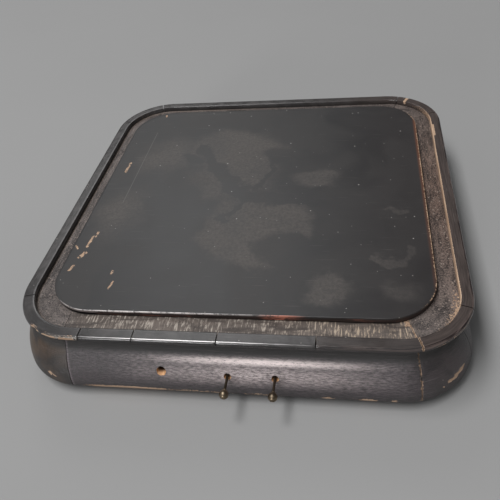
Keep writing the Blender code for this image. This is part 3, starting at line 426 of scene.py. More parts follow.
# Marks on the board, in millimetres. Film and rubs: x, y, half width, half depth, turn, softness.
# Strokes, arcs, flakes and the scratch: start, end, half width.
BOARD_FILM = ((-30, 76, 74, 54, 0.3, 0.35), (10, -62, 62, 68, 0.1, 0.3), (68, 20, 42, 20, 0.2, 0.5),
              (80, -140, 26, 24, 0, 0.5), (142, -138, 22, 16, 0, 0.7),
              (-112, 70, 46, 56, 0.2, 0.8), (-140, -35, 40, 60, 0.1, 0.9), (-30, 20, 60, 50, 0, 0.7))
BOARD_RUBS = ((-85, -18, 44, 40, 0.1, 0.5), (30, 62, 36, 26, 0.5, 0.4), (52, -96, 48, 26, 0.4, 0.4),
              (8, -132, 34, 14, 0.1, 0.5), (-82, 62, 22, 12, 0.6, 0.5), (112, 4, 46, 46, 0, 0.6))
BOARD_STROKES = (((-70, 82), (-46, 38), 12), ((-46, 38), (-22, 4), 12), ((-22, 4), (6, -11), 13),
                 ((6, -11), (34, -14), 11), ((34, -14), (72, -22), 8), ((38, 102), (-26, -46), 5))
BOARD_ARCS = (((134, -30), (142, -37), 3.5), ((142, -37), (155, -33), 3.5), ((124, -100), (136, -107), 6),
              ((136, -107), (148, -104), 6), ((148, -104), (156, -89), 5))
BOARD_FLAKES = (((-156, 38), (-155, 57), 1.9), ((-156, -89), (-155, -74), 1.8),
                ((-152, -74), (-152, -67), 1.7), ((-158, -104), (-155, -98), 3),
                ((-168, -88), (-165, -92), 1.3), ((-162, -122), (-160, -116), 1.9),
                ((-118, -126), (-118, -122), 1.4), ((-115, -145), (-113, -136), 1.4),
                ((-139, 165), (-138, 162), 1.6))
LONG_SCRATCH = ((-141, -19), (-140, 123), 0.6)

# Places on the board: from and to, or middle and reach
BOARD_SHADE_X = mm(60, 170)
RIGHT_RIM_X = mm(170.5, 173.8)
RIGHT_RIM_Y = mm(-150, 120)
ARRIS_BAND = mm(-0.85, -0.45)
FRONT_ARRIS_Y = mm(-156, -166)
ARRIS_HIGHLIGHT_X = mm(-75, 150)
RED_ARRIS_X = mm(46, 24)
TORN_EDGE_X = mm(44, 19)
DUSTY_EDGE_X = mm(-112, -124)
DUSTY_EDGE_Y = mm(-135, -155)
DUSTY_EDGE_Z = (BOARD_TOP - 3.4 * MM, BOARD_TOP - 2.4 * MM)


def board_film(g, where):
    """Hazy film, wiped away in strokes and rubs, with arcs of it left at the right."""
    warp = g.cloud(where, 22, 6, 0.62).node.outputs["Color"]
    shove = g.vector("MULTIPLY", g.vector("SUBTRACT", warp, (0.5, 0.5, 0.5)), (0.06, 0.06, 0))
    bent = g.vector("ADD", where, shove)
    wiped = g.most(g.all_of(g.stroke, bent, BOARD_STROKES), g.all_of(g.blotch, bent, BOARD_RUBS))
    film = g.times(g.all_of(g.blotch, bent, BOARD_FILM), g.fit(wiped, 0, 1, 1, 0.08))
    return g.most(film, g.all_of(g.stroke, bent, BOARD_ARCS))


def board_paint(g, where, film, haze):
    """Black paint under the film, darker and a little browner to the right as painted shade, with fine
    scratches and dust.
    """
    g.colour = g.shades(haze, 0.35, 0.65, (21, 20.5, 21.5), (30, 28.5, 28.5))
    mottle = g.fit(g.cloud(where, 330, 6, 0.8), 0.36, 0.64, 0.35, 1)
    g.coat((74, 66, 61), film, mottle, g.fit(haze, 0.25, 0.6, 0.55, 1))
    # Painted shade: darker to the right, where the board's sheen falls off
    g.coat((20, 16.5, 16.5), g.fit(g.part(where, "X"), *BOARD_SHADE_X), 0.6)
    hair = g.streaks(where, (26, 1500, 1), 2, 0.5, turn=(0, 0, 1.45))
    g.coat((160, 150, 140), g.fit(hair, 0.68, 0.75), 0.35)
    g.coat((200, 190, 180), g.stroke(where, *LONG_SCRATCH), 0.3)
    dust = g.most(g.specks(where, 95, 0.3, 0.085), g.times(g.specks(where, 230, 0.16, 0.16), 0.6))
    g.coat((500, 480, 460), dust, 0.8)


def board_arrises(g, where, haze):
    """Along the arrises: paint worn through red-brown at the right and torn red along the front, and a pale
    painted highlight along the front.
    """
    x = g.part(where, "X")
    y = g.part(where, "Y")
    rim = g.times(g.fit(x, *RIGHT_RIM_X), g.fit(y, *RIGHT_RIM_Y, 0.35, 1))
    g.coat((115, 45, 24), rim, g.fit(haze, 0.25, 0.5, 0.5, 1))
    arris = g.fit(g.outside(where, BOARD_MIDDLE, BOARD_HALF, BOARD_CORNER), *ARRIS_BAND)
    arris = g.times(arris, g.fit(y, *FRONT_ARRIS_Y))
    arris = g.times(arris, g.fit(g.cloud(where, 260, 4, 0.7), 0.36, 0.52, 0.15, 0.95))
    # Painted highlight: a pale line along the front arris
    g.coat((620, 575, 560), arris, g.hump(x, *ARRIS_HIGHLIGHT_X))
    g.coat((460, 170, 115), arris, g.hump(x, *RED_ARRIS_X))


def board_flakes(g, where):
    """Where flakes of paint are torn off down to the wood."""
    marks = g.all_of(g.stroke, where, BOARD_FLAKES)
    torn = g.streaks(where, (620, 330, 620), 5, 0.7, turn=(0, 0, -0.35))
    ragged = g.plus(marks, g.fit(torn, 0.36, 0.64, -0.85, 0.4))
    return g.fit(g.times(g.math("GREATER_THAN", marks, 0.01), ragged), 0.42, 0.6)


def make_board():
    """Black painted board: a wiped film, painted shade to the right, dust, scratches, flakes, and worn
    arrises with a painted highlight along the front.
    """
    g = Graph("black_board")
    where = g.place()
    film = board_film(g, where)
    haze = g.cloud(where, 11, 4, 0.55, 1.2)
    grain = g.streaks(where, (14, 420, 420), 4, 0.6)
    fine = g.cloud(where, 1500, 3, 0.6)
    board_paint(g, where, film, haze)
    board_arrises(g, where, haze)
    worn = g.most(worn_mask(g, where, 500), board_flakes(g, where))
    g.coat(bare_wood(g, where), worn)
    rough = g.plus(g.fit(haze, 0.3, 0.7, 0.34, 0.42), g.times(film, 0.06))
    rough = g.plus(rough, g.times(worn, 0.25))
    height = g.plus(g.times(grain, 0.6), g.times(fine, 0.4))
    return g.finish(rough, g.bump(height, 0.25, 0.2 * MM))


def make_board_edge():
    """Sawn edge of the board: dark red-brown stain, torn red in front and dusty at the left."""
    g = Graph("board_edge")
    where = g.place()
    x = g.part(where, "X")
    plies = g.streaks(where, (30, 30, 900), 4, 0.6)
    g.colour = g.shades(plies, 0.35, 0.65, (9, 6, 5.5), (30, 15, 12))
    red = g.streaks(where, (40, 40, 200), 4, 0.6)
    g.coat((130, 45, 30), g.fit(red, 0.56, 0.68, 0, 0.8))
    splits = g.streaks(where, (260, 260, 900), 4, 0.65)
    g.coat((420, 140, 92), g.hump(x, *TORN_EDGE_X), g.fit(splits, 0.4, 0.56))
    dusty = g.times(g.fit(x, *DUSTY_EDGE_X), g.fit(g.part(where, "Y"), *DUSTY_EDGE_Y),
                    g.fit(g.part(where, "Z"), *DUSTY_EDGE_Z))
    g.coat((150, 125, 120), dusty, g.fit(plies, 0.3, 0.6, 0.6, 1))
    g.coat(bare_wood(g, where), worn_mask(g, where, 500))
    return g.finish(g.fit(plies, 0.3, 0.7, 0.55, 0.75), g.bump(plies, 0.4, 0.4 * MM))


DEEP_SHADE_DEPTH = 4 * MM


def make_raw_wood(name, pale, dark, scales, painted_shade_from=None):
    """Planed, unfinished wood that has darkened inside the case, with painted shade making it near-black
    behind a given depth.
    """
    g = Graph(name)
    where = g.place()
    rings = g.streaks(where, scales, 5, 0.6, 0.8)
    pores = g.streaks(where, tuple(6 * scale for scale in scales), 3, 0.6)
    stain = g.cloud(where, 9, 4, 0.55)
    g.colour = g.shades(rings, 0.35, 0.65, pale, dark)
    g.coat(tuple(0.5 * shade for shade in dark), g.fit(pores, 0.58, 0.72), 0.6)
    g.coat((90, 55, 35), g.fit(stain, 0.5, 0.75), 0.5)
    if painted_shade_from is not None:
        # Painted shade: the wood deep in a hole turns near-black
        deep = g.plus(g.part(where, "Y"), g.times(stain, DEEP_SHADE_DEPTH))
        g.coat((22, 14, 10), g.fit(deep, painted_shade_from, painted_shade_from + DEEP_SHADE_DEPTH, 0, 0.92))
    height = g.plus(rings, pores)
    return g.finish(g.fit(rings, 0.3, 0.7, 0.62, 0.82), g.bump(height, 0.3, 0.4 * MM))


def make_metal(name, bright, dull, low_rough, high_rough, tarnish):
    """Worked metal with a drawn grain and patches of tarnish."""
    g = Graph(name)
    where = g.place()
    patches = g.cloud(where, 130, 5, 0.6, 0.4)
    grain = g.streaks(where, (2600, 180, 2600), 3, 0.6)
    g.colour = g.mix(g.times(g.fit(patches, 0.45, 0.72), tarnish), bright, dull)
    rough = g.fit(g.plus(patches, g.times(grain, 0.3)), 0.4, 0.9, low_rough, high_rough)
    return g.finish(rough, g.bump(grain, 0.15, 0.2 * MM), metallic=1)


FACE = make_face()
LIP = make_lip()
LEDGE = make_ledge()
BOARD = make_board()
BOARD_EDGE = make_board_edge()
CASE_WOOD = make_raw_wood("case_wood", (300, 190, 110), (200, 115, 65), (14, 240, 240))
HOLE_WOOD = make_raw_wood("hole_wood", (800, 500, 280), (580, 310, 150), (300, 40, 300), -HALF)
PINE = make_raw_wood("pine", (430, 290, 170), (310, 190, 100), (10, 190, 190))
BRASS = make_metal("lacquered_brass", (660, 470, 190), (300, 190, 75), 0.24, 0.42, 0.75)
AGED_BRASS = make_metal("aged_brass", (210, 165, 115), (45, 36, 28), 0.32, 0.5, 0.9)
DARK_ROD = make_metal("dark_rod", (100, 80, 60), (30, 26, 22), 0.35, 0.55, 0.9)
STEEL = make_metal("grey_steel", (520, 520, 540), (200, 170, 150), 0.22, 0.42, 0.7)


# Shapes and meshes

SHARP_ANGLE = radians(35)


def bend(start, pull, end, steps):
    """Points along a curve from start to end that leans towards a third point."""
    points = []
    for step in range(steps + 1):
        t = step / steps
        weights = ((1 - t) ** 2, 2 * t * (1 - t), t * t)
        points.append(tuple(sum(w * p[i] for w, p in zip(weights, (start, pull, end))) for i in range(2)))
    return points


def straight(start, end, steps):
    """Points spaced evenly along a line."""
    return bend(start, tuple((a + b) / 2 for a, b in zip(start, end)), end, steps)


def clamp(value, low=0):
    return min(1, max(low, value))


def hill(value, middle, reach):
    """One at the middle, falling to nothing at the reach."""
    return max(0, 1 - ((value - middle) / reach) ** 2)


def near_end(end_room, reach):
    """One at the end of a piece, falling to nothing at the reach."""
    return max(0, 1 - end_room / reach)


def ripple(*place):
    """Smooth noise from 0 to 1."""
    return 0.5 + 0.5 * noise.noise(Vector(place))


def join_rings(shape, ring, after):
    """Faces between two rings of as many points."""
    corners = zip(ring, ring[1:] + ring[:1], after[1:] + after[:1], after)
    return [shape.faces.new(four) for four in corners]


def close_rings(shape, rings):
    """A closed solid through rings of points, with a face across each end."""
    for ring, after in zip(rings, rings[1:]):
        join_rings(shape, ring, after)
    shape.faces.new(rings[0][::-1])
    shape.faces.new(rings[-1])


def add_object(name, data):
    thing = bpy.data.objects.new(name, data)
    SCENE.collection.objects.link(thing)
    return thing


def mesh_object(name, shape, materials):
    bmesh.ops.recalc_face_normals(shape, faces=shape.faces)
    mesh = bpy.data.meshes.new(name)
    shape.to_mesh(mesh)
    shape.free()
    for material in materials:
        mesh.materials.append(material)
    return add_object(name, mesh)


def finish_mesh(name, shape, materials, body, replaced=()):
    """A piece of the part, shaded smooth, that rides on a body and may stand for nodes."""
    piece = mesh_object(name, shape, materials)
    piece.data.shade_smooth()
    piece.data.set_sharp_from_angle(angle=SHARP_ANGLE)
    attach(piece, body)
    if replaced:
        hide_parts(*replaced)
    return piece


# Swept mouldings

Moulding = namedtuple("Moulding", "edge section step gap wear materials")


def sweep(node, moulding, start, end):
    """A length of moulding that stands for a node, with half a seam's gap at each end.
    A section is a list of (offset, height, material index of the strip after it)."""
    edge, section, step, gap, wear, materials = moulding
    shape = bmesh.new()
    layer = shape.loops.layers.uv.new("UVMap")
    bare = shape.verts.layers.float.new("bare")
    start, end = start + gap / 2, end - gap / 2
    count = max(2, round((end - start) / step))
    lengths = [0]
    for here, after in zip(section, section[1:] + section[:1]):
        lengths.append(lengths[-1] + dist(here[:2], after[:2]))
    rings = []
    for index in range(count + 1):
        run = start + (end - start) * index / count
        base, out = edge.point(run)
        end_room = min(run - start, end - run)
        ring = []
        for offset, height, _ in section:
            push, amount = wear(run, offset, height, end_room)
            vert = shape.verts.new((*(base + out * (offset - push)), height))
            vert[bare] = amount
            ring.append(vert)
        rings.append((run, ring))
    for (run, ring), (next_run, next_ring) in zip(rings, rings[1:]):
        for i, face in enumerate(join_rings(shape, ring, next_ring)):
            face.material_index = section[i][2]
            low, high = lengths[i], lengths[i + 1]
            for loop, spot in zip(face.loops, ((run, low), (run, high), (next_run, high), (next_run, low))):
                loop[layer].uv = spot
    for run, ring in (rings[0], rings[-1]):
        for loop in shape.faces.new(ring).loops:
            loop[layer].uv = (run, loop.vert.co.z)
    return finish_mesh(f"worn_{node}", shape, materials, "case", [node])


# Sections of the frame and the lip, as offsets out from their edge and heights
COVE_TOP = (-5 * MM, LEDGE_Z)
FACE_TOP = Vector(mm(-6, 50))
LEAN = radians(32)
ROLL_OUT = Vector((sin(LEAN), -cos(LEAN)))
COVE_PULL = FACE_TOP - 8 * MM * ROLL_OUT
FACE_PULL = FACE_TOP + 22 * MM * ROLL_OUT
FOOT_INSET = 23 * MM
FOOT_STEPS = 12
REBATE = 37 * MM
REBATE_TOP = 9.3 * MM
EBONY_STRIP, WOOD_STRIP, LEDGE_STRIP = 0, 1, 2
NOSE_ARRIS = 1.8 * MM
NOSE_BREAK = radians(45)
INNER_ARRIS = 0.5 * MM
ARRIS_MIDDLE = 0.15 * MM
INNER_FOOT = 1.2 * MM
LIP_TOP_POINTS = mm(2, 4, 5.4, 7.3)
FRAME_STEP = 2.2 * MM
LIP_STEP = 1.6 * MM


def frame_section():
    """Cove under the lip, swelling face, round foot, rebate, inner wall and ledge."""
    points = bend(COVE_TOP, COVE_PULL, FACE_TOP, 10) + bend(FACE_TOP, FACE_PULL, BULGE, 20)[1:]
    for step in range(1, FOOT_STEPS + 1):
        angle = pi / 2 * step / FOOT_STEPS
        reach = (BULGE[0] + FOOT_INSET) * cos(angle) - FOOT_INSET
        points.append((reach, BULGE[1] * (1 - sin(angle))))
    inner_foot, inner_top = (-FRAME_DEPTH, REBATE_TOP), (-FRAME_DEPTH, LEDGE_Z)
    wood = [points.pop(), (-REBATE, 0), (-REBATE, REBATE_TOP)] + straight(inner_foot, inner_top, 8)[:-1]
    ledge = straight(inner_top, COVE_TOP, 9)[:-1]
    strips = ((points, EBONY_STRIP), (wood, WOOD_STRIP), (ledge, LEDGE_STRIP))
    return [(*point, material) for strip, material in strips for point in strip]


def lip_section():
    """A tight worn arris, a slower curve to the nose, a round underside, an inner wall and a flat top."""
    radius = (TOP_Z - LIP_FOOT) / 2
    middle = LIP_FOOT + radius
    slow = (radius - NOSE_ARRIS * (1 - sin(NOSE_BREAK))) / sin(NOSE_BREAK)
    apart = slow - NOSE_ARRIS
    arris = (-slow + apart * cos(NOSE_BREAK), middle + apart * sin(NOSE_BREAK))
    arcs = ((arris, NOSE_ARRIS, pi / 2, NOSE_BREAK, 8), ((-slow, middle), slow, NOSE_BREAK, 0, 6),
            ((-radius, middle), radius, 0, -pi / 2, 8))
    points = [(arris[0], TOP_Z)]
    for centre, reach, start, end, steps in arcs:
        for step in range(1, steps + 1):
            angle = start + (end - start) * step / steps
            points.append((centre[0] + reach * cos(angle), centre[1] + reach * sin(angle)))
    inner = -LIP_WIDTH
    points += [(inner, LIP_FOOT), (inner, LIP_FOOT + INNER_FOOT), (inner, TOP_Z - INNER_ARRIS)]
    points += [(inner + ARRIS_MIDDLE, TOP_Z - ARRIS_MIDDLE), (inner + INNER_ARRIS, TOP_Z)]
    points += [(inner + reach, TOP_Z) for reach in LIP_TOP_POINTS]
    return [(*point, 0) for point in points]


# Wear, in millimetres. Chips: run, height, reach along, reach up, depth
BODY_CHIPS = ((-22, 20.5, 3, 2.4, 0.5), (-17, 19, 2, 1.6, 0.4), (-12, 17, 1, 1, 0.3), (315, 18.9, 1, 1, 0.3),
              (319, 18.5, 1.2, 1.2, 0.3), (325, 21.6, 3.5, 2.2, 0.4), (331, 22.4, 4, 3, 0.4),
              (337, 23.4, 4, 3, 0.4), (341, 24.2, 2.5, 2, 0.4),
              (470, 20, 3, 2, 0.4), (585, 13, 4, 2, 0.4), (712, 24, 3, 2.4, 0.4), (905, 18, 4, 2, 0.4),
              (1085, 23, 3, 2.4, 0.4), (1190, 15, 3, 2, 0.4), (1305, 21, 2.4, 2, 0.4))
LIP_CHIPS = ((-37, 69.2, 4, 2.4, 0.9), (15, 66.8, 6, 1, 0.3), (717, 72, 2.2, 2.4, 0.3))
# Splintered lengths of the lip's nose: start, end, amount
LIP_SPLINTERS = ((-44, -27, 0.9), (-27, -8, 0.74), (-9, 9, 0.88), (302, 352, 0.45),
                 (515, 533, 0.5), (668, 684, 0.5), (-500, -484, 0.5), (-322, -306, 0.45))
# Lengths of the front's foot that are rubbed bare: middle, reach, amount
FOOT_RUBS = ((50, 56, 1), (226, 9, 0.72), (259, 13, 0.8), (280, 5, 0.72))
# Bare patches of the ledge: run, reach along, offset, reach across, amount
LEDGE_RUBS = ((296, 9, -30, 5, 0.8), (355, 60, -11.5, 4.6, 0.68))

# Wear along the whole edge, in metres: middle and reach, or a length
TOUCH = 0.1 * MM
FRONT_FOOT = mm(140, 190)
FOOT_STRIP = mm(9.5, 5.5)
RIGHT_SEAM_REACH = 6 * MM
SPLINTER_END = 3 * MM
INNER_WALL_RIGHT = mm(512, 212)
INNER_WALL_TORN = mm(626, 34)
WAVE_DEPTH, WAVE_LENGTH = 0.25 * MM, 24 * MM
LIP_WAVE_DEPTH, LIP_WAVE_LENGTH = 0.18 * MM, 17 * MM
SEAM_ROUNDING = 0.12 * MM
SPLINTER_DEPTH = 0.5 * MM


def wrapped(run, edge):
    """The same place on the edge as a run from minus half to plus half of its length."""
    loop = 4 * edge.quarter
    return (run + loop / 2) % loop - loop / 2


def chipped(run, height, chips, edge):
    """Depth and amount of the chips at a place."""
    push = amount = 0
    for middle, rise, along, up, depth in chips:
        away = wrapped(run - middle * MM, edge)
        part = clamp(1.25 - (away / (along * MM)) ** 2 - ((height - rise * MM) / (up * MM)) ** 2)
        amount = max(amount, part)
        push = max(push, depth * MM * part)
    return push, amount


def splintered(run, height):
    """Amount of wood torn off the lip's nose."""
    amount = 0
    place = wrapped(run, LIP_EDGE)
    for start, end, most in LIP_SPLINTERS:
        inside = clamp(min(place - start * MM, end * MM - place) / SPLINTER_END)
        amount = max(amount, inside * most * (0.5 + ripple(run * 240, height * 420, 1.1)))
    return amount


def ledge_bare(run, offset, end_room):
    """Bare wood on the ledge: in patches, and at the right seam."""
    amount = 0.62 * hill(run, FRAME_EDGE.side_end, RIGHT_SEAM_REACH) * near_end(end_room, 3 * MM)
    for middle, along, place, across, most in LEDGE_RUBS:
        amount = max(amount, most * hill(run, *mm(middle, along)) * hill(offset, *mm(place, across)))
    return amount


def foot_bare(run, height):
    """Bare wood in a strip along the foot, most in front."""
    along = ripple(run * 34, 0.3, 1.9) * max(0.5, 0.85 * hill(run, *FRONT_FOOT))
    for middle, reach, most in FOOT_RUBS:
        along = max(along, most * hill(run, *mm(middle, reach)))
    return along * min(1, 1.7 * hill(height, *FOOT_STRIP))


def inner_wall_bare(run, offset):
    """Bare wood on the lip's inner wall, most at the right."""
    right = min(1, 1.6 * hill(run, *INNER_WALL_RIGHT))
    torn = hill(run, *INNER_WALL_TORN)
    if offset >= -LIP_WIDTH + (0.6 + 1.6 * torn) * MM:
        return 0
    return 0.12 + 0.5 * right + 0.3 * torn + 0.25 * ripple(run * 21, 2.2, 0.4)


def frame_wear(run, offset, height, end_room):
    """How far a point of the frame is worn in, and how bare it is."""
    in_rebate = height < REBATE_TOP + TOUCH and offset < -REBATE + TOUCH
    if in_rebate or offset < -FRAME_DEPTH + TOUCH:
        return 0, 0
    if height > LEDGE_Z - TOUCH and offset < COVE_TOP[0]:
        return 0, ledge_bare(run, offset, end_room)
    push, amount = chipped(run, height, BODY_CHIPS, FRAME_EDGE)
    right_seam = hill(run, FRAME_EDGE.side_end, RIGHT_SEAM_REACH)
    seam = near_end(end_room, 2.4 * MM) * (0.2 + 0.35 * right_seam)
    push += WAVE_DEPTH * ripple(run / WAVE_LENGTH, height / WAVE_LENGTH, 3.7)
    push += SEAM_ROUNDING * near_end(end_room, 1.5 * MM)
    return push, max(amount, foot_bare(run, height), seam)


def lip_wear(run, offset, height, end_room):
    """How far a point of the lip is worn in, and how bare it is."""
    push, amount = chipped(run, height, LIP_CHIPS, LIP_EDGE)
    below_top = clamp((71.2 * MM - height) / (1.2 * MM), 0.45)
    on_nose = clamp((offset + 3.4 * MM) / (1.4 * MM))
    amount = max(amount, splintered(run, height) * below_top * on_nose)
    right_seam = hill(run, LIP_EDGE.side_end, RIGHT_SEAM_REACH)
    seam = (0.3 + 0.32 * right_seam) * near_end(end_room, 2 * MM)
    if offset < -LIP_WIDTH / 2:
        return 0, max(amount, seam, inner_wall_bare(run, offset))
    push += LIP_WAVE_DEPTH * ripple(run / LIP_WAVE_LENGTH, height / LIP_WAVE_LENGTH, 3.7)
    push += SPLINTER_DEPTH * amount + SEAM_ROUNDING * near_end(end_room, 1.2 * MM)
    return push, max(amount, seam)


SIDES = ("front", "right", "back", "left")
CORNERS = ("front_right", "back_right", "back_left", "front_left")


def build_frame():
    """Rails and corner blocks. Gives the rails by their side."""
    edge = FRAME_EDGE
    moulding = Moulding(edge, frame_section(), FRAME_STEP, SEAM_GAP, frame_wear, [FACE, CASE_WOOD, LEDGE])
    front_left = edge.step * FRONT_LEFT_STEPS
    rails = {}
    for index, (side, corner) in enumerate(zip(SIDES, CORNERS)):
        base = index * edge.quarter
        side_end = base + edge.side_end
        start = base - (front_left if side == "front" else edge.seam)
        end = base + edge.quarter - (front_left if side == "left" else edge.seam)
        rails[side] = sweep(f"{side}_rail", moulding, start, side_end)
        sweep(f"corner_block_{corner}", moulding, side_end, end)
    return rails


def build_lip():
    """Glued strips of the lip: four along the front, one on each other side, and one on each corner."""
    edge = LIP_EDGE
    moulding = Moulding(edge, lip_section(), LIP_STEP, LIP_SEAM_GAP, lip_wear, [LIP])
    seams = (*LIP_FRONT_SEAMS, edge.side_end)
    strips = [(f"lip_front_{n}", start, end) for n, (start, end) in enumerate(zip(seams, seams[1:]), 1)]
    for index, (side, corner) in enumerate(zip(SIDES, CORNERS)):
        base = index * edge.quarter
        side_end = base + edge.side_end
        if side != "front":
            strips.append((f"lip_{side}", base - edge.seam, side_end))
        after = -LIP_FRONT_SEAMS[0] if side == "left" else edge.seam
        strips.append((f"lip_corner_{corner}", side_end, base + edge.quarter - after))
    for node, start, end in strips:
        sweep(node, moulding, start, end)


# Loose board

BOARD_ARRIS = 0.6 * MM
ROUND_STEPS = 16
SIDE_STEPS = 56
TOP_RINGS = 58
BOARD_NICK = 0.25 * MM
BOARD_SAG = 0.18 * MM
# Rings under the board and up its edge: inset, and share of the thickness
BOARD_RINGS = ((3.5 * MM, 0), (1.2 * MM, 0), (0, 0.15), (0, 0.35), (0, 0.55), (0, 0.75))
UNDERSIDE_INSET = 3 * MM
UNDERCUT_X = mm(-152, 40)
UNDERCUT_Y = mm(-172, 44)
UNDERCUT_DEPTH = 12 * MM
PAINT_FACE, SAWN_FACE, UNDER_FACE = 0, 1, 2
BARE_INSET = 1.2 * MM
BARE_FRONT = mm(-176, 25)
BARE_RIGHT = mm(180, 25)
BARE_HEIGHT = (BOARD_TOP - 0.3 * MM, 0.9 * MM)


def board_outline():
    """Rounded rectangle round the board's own middle, as (x, y, outward angle)."""
    points = []
    width, depth = (half - BOARD_CORNER for half in BOARD_HALF)
    middles = ((width, -depth), (width, depth), (-width, depth), (-width, -depth))
    for index, here in enumerate(middles):
        after = middles[(index + 1) % 4]
        start = pi / 2 * (index - 1)
        for step in range(ROUND_STEPS + SIDE_STEPS):
            angle = start + pi / 2 * min(1, step / ROUND_STEPS)
            share = max(0, step - ROUND_STEPS) / SIDE_STEPS
            x, y = (a + (b - a) * share for a, b in zip(here, after))
            points.append((x + BOARD_CORNER * cos(angle), y + BOARD_CORNER * sin(angle), angle))
    return points


def board_levels():
    """Rings from under the board to its top: inset, share of the thickness, material of the strip before."""
    levels = [(inset, share, SAWN_FACE) for inset, share in BOARD_RINGS]
    for step in range(5):
        angle = pi / 2 * step / 4
        rise = (BOARD_THICK - BOARD_ARRIS * (1 - sin(angle))) / BOARD_THICK
        levels.append((BOARD_ARRIS * (1 - cos(angle)), rise, PAINT_FACE))
    return levels


def board_edge_point(x, y, angle, inset, share):
    """A point of the board's edge. Its front-left corner is sawn thinner and stands clear of the ledge."""
    undercut = min(1, 1.5 * hill(x, *UNDERCUT_X) * hill(y, *UNDERCUT_Y))
    back = inset + BOARD_NICK * ripple(x * 70, y * 70, share * 3)
    rise = share
    if inset < UNDERSIDE_INSET:
        rise += (1 - share) * 0.5 * undercut
    else:
        back += UNDERCUT_DEPTH * undercut
    flat = BOARD_MIDDLE + Vector((x - back * cos(angle), y - back * sin(angle)))
    return (*flat, BOARD_FOOT + BOARD_THICK * rise)


def board_top_point(x, y, step):
    """A point of the board's slightly hollow top, on one of its shrinking rings."""
    flat = BOARD_MIDDLE + Vector((x, y)) * (1 - step / TOP_RINGS)
    sag = BOARD_SAG * ripple(flat.x * 9, flat.y * 9, 5.1) * min(1, step / 4)
    return (*flat, BOARD_TOP - sag)


def board_bare(x, y, height, inset):
    """How far the paint is off along the top arris, most at the front and right."""
    if inset >= BARE_INSET:
        return 0
    side = max(0.06, 0.16 * hill(y, *BARE_FRONT), 0.5 * hill(x, *BARE_RIGHT))
    return hill(height, *BARE_HEIGHT) * (side + 0.3 * ripple(x * 60, y * 60, 0.7))


def build_board():
    """The loose board, with a worn sawn edge, a round arris and a hollow top."""
    outline = board_outline()
    shape = bmesh.new()
    bare = shape.verts.layers.float.new("bare")
    rings = []
    for inset, share, material in board_levels():
        ring = []
        for x, y, angle in outline:
            point = board_edge_point(x, y, angle, inset, share)
            vert = shape.verts.new(point)
            vert[bare] = board_bare(*point, inset)
            ring.append(vert)
        rings.append((ring, material))
    for step in range(1, TOP_RINGS):
        rings.append(([shape.verts.new(board_top_point(x, y, step)) for x, y, _ in outline], PAINT_FACE))
    for (ring, _), (next_ring, material) in zip(rings, rings[1:]):
        for face in join_rings(shape, ring, next_ring):
            face.material_index = material
    shape.faces.new(rings[-1][0]).material_index = PAINT_FACE
    shape.faces.new(rings[0][0][::-1]).material_index = UNDER_FACE
    materials = [BOARD, BOARD_EDGE, PINE]
    finish_mesh("worn_top_board", shape, materials, "top_board", ["top_board"])


# Turned pieces

TO_FRONT = Matrix.Rotation(pi / 2, 3, "X")
KEY_RIM_WEAR = 1
ROD_RIM_WEAR = 0.7
# Ball of a pull, in millimetres: radius, and distance forward of its middle
BALL_NECK = ((1.25, -4.4), (1.9, -4.3), (2, -3.9), (1.75, -3.62))
BALL_TIP = ((0.95, 3.86), (0.9, 3.93), (0.4, 3.99))
BALL_STEPS = 23


def turned(shape, profile, centre, turn, sides, flare=None):
    """Adds a closed turned solid: profile is (radius, distance along the axis) from one end to the other."""
    rings = []
    for level, (radius, along) in enumerate(profile):
        ring = []
        for side in range(sides):
            angle = 2 * pi * side / sides
            reach = radius * (flare(level, angle) if flare else 1)
            spot = Vector((reach * cos(angle), reach * sin(angle), along))
            ring.append(shape.verts.new(centre + turn @ spot))
        rings.append(ring)
    close_rings(shape, rings)


def bore_cutter(number, centre, radius, wear):
    """Cutter for a hole of the front, with a ragged rim."""
    def ragged(level, angle):
        spot = (2.1 * cos(angle), 2.1 * sin(angle), 7.3 * number + 0.4 * level)
        return 1 + (0.16 * wear * (0.4 + noise.noise(Vector(spot))) if level > 1 else 0)

    shape = bmesh.new()
    profile = [(radius, -70 * MM), (radius, -5 * MM), (radius * 1.04, -3 * MM), (radius * 1.2, 2 * MM)]
    turned(shape, profile, centre, TO_FRONT, 40, ragged)
    return mesh_object("bore", shape, [HOLE_WOOD])


def bore_front(rail):
    """Key hole and rod holes, with raw wood in them."""
    holes = [(KEY_HOLE, KEY_HOLE_RADIUS, KEY_RIM_WEAR)]
    holes += [(Vector((x, FACE_Y, PULL_Z)), ROD_HOLE_RADIUS, ROD_RIM_WEAR) for x in PULLS.values()]
    cutters = [bore_cutter(number, *hole) for number, hole in enumerate(holes)]
    for cutter in cutters:
        cut = rail.modifiers.new("bore", "BOOLEAN")
        cut.operation = "DIFFERENCE"
        cut.solver = "EXACT"
        cut.material_mode = "TRANSFER"
        cut.object = cutter
    bpy.context.view_layer.update()
    graph = bpy.context.evaluated_depsgraph_get()
    rail.data = bpy.data.meshes.new_from_object(rail.evaluated_get(graph))
    rail.modifiers.clear()
    for cutter in cutters:
        bpy.data.objects.remove(cutter)


def build_pulls():
    """Ball of each pull, with a neck and a small riveted tip."""
    profile = [mm(*point) for point in BALL_NECK]
    for step in range(4, BALL_STEPS - 1):
        angle = pi * step / BALL_STEPS
        profile.append((BALL_RADIUS * sin(angle), -BALL_RADIUS * cos(angle)))
    profile += [mm(*point) for point in BALL_TIP]
    for pull, x in PULLS.items():
        shape = bmesh.new()
        turned(shape, profile, Vector((x, FACE_Y - BALL_REACH, PULL_Z)), TO_FRONT, 36)
        ball = f"{pull}_ball"
        finish_mesh(f"turned_{ball}", shape, [AGED_BRASS], f"{pull}_pull", [ball])


# Small parts of the movement

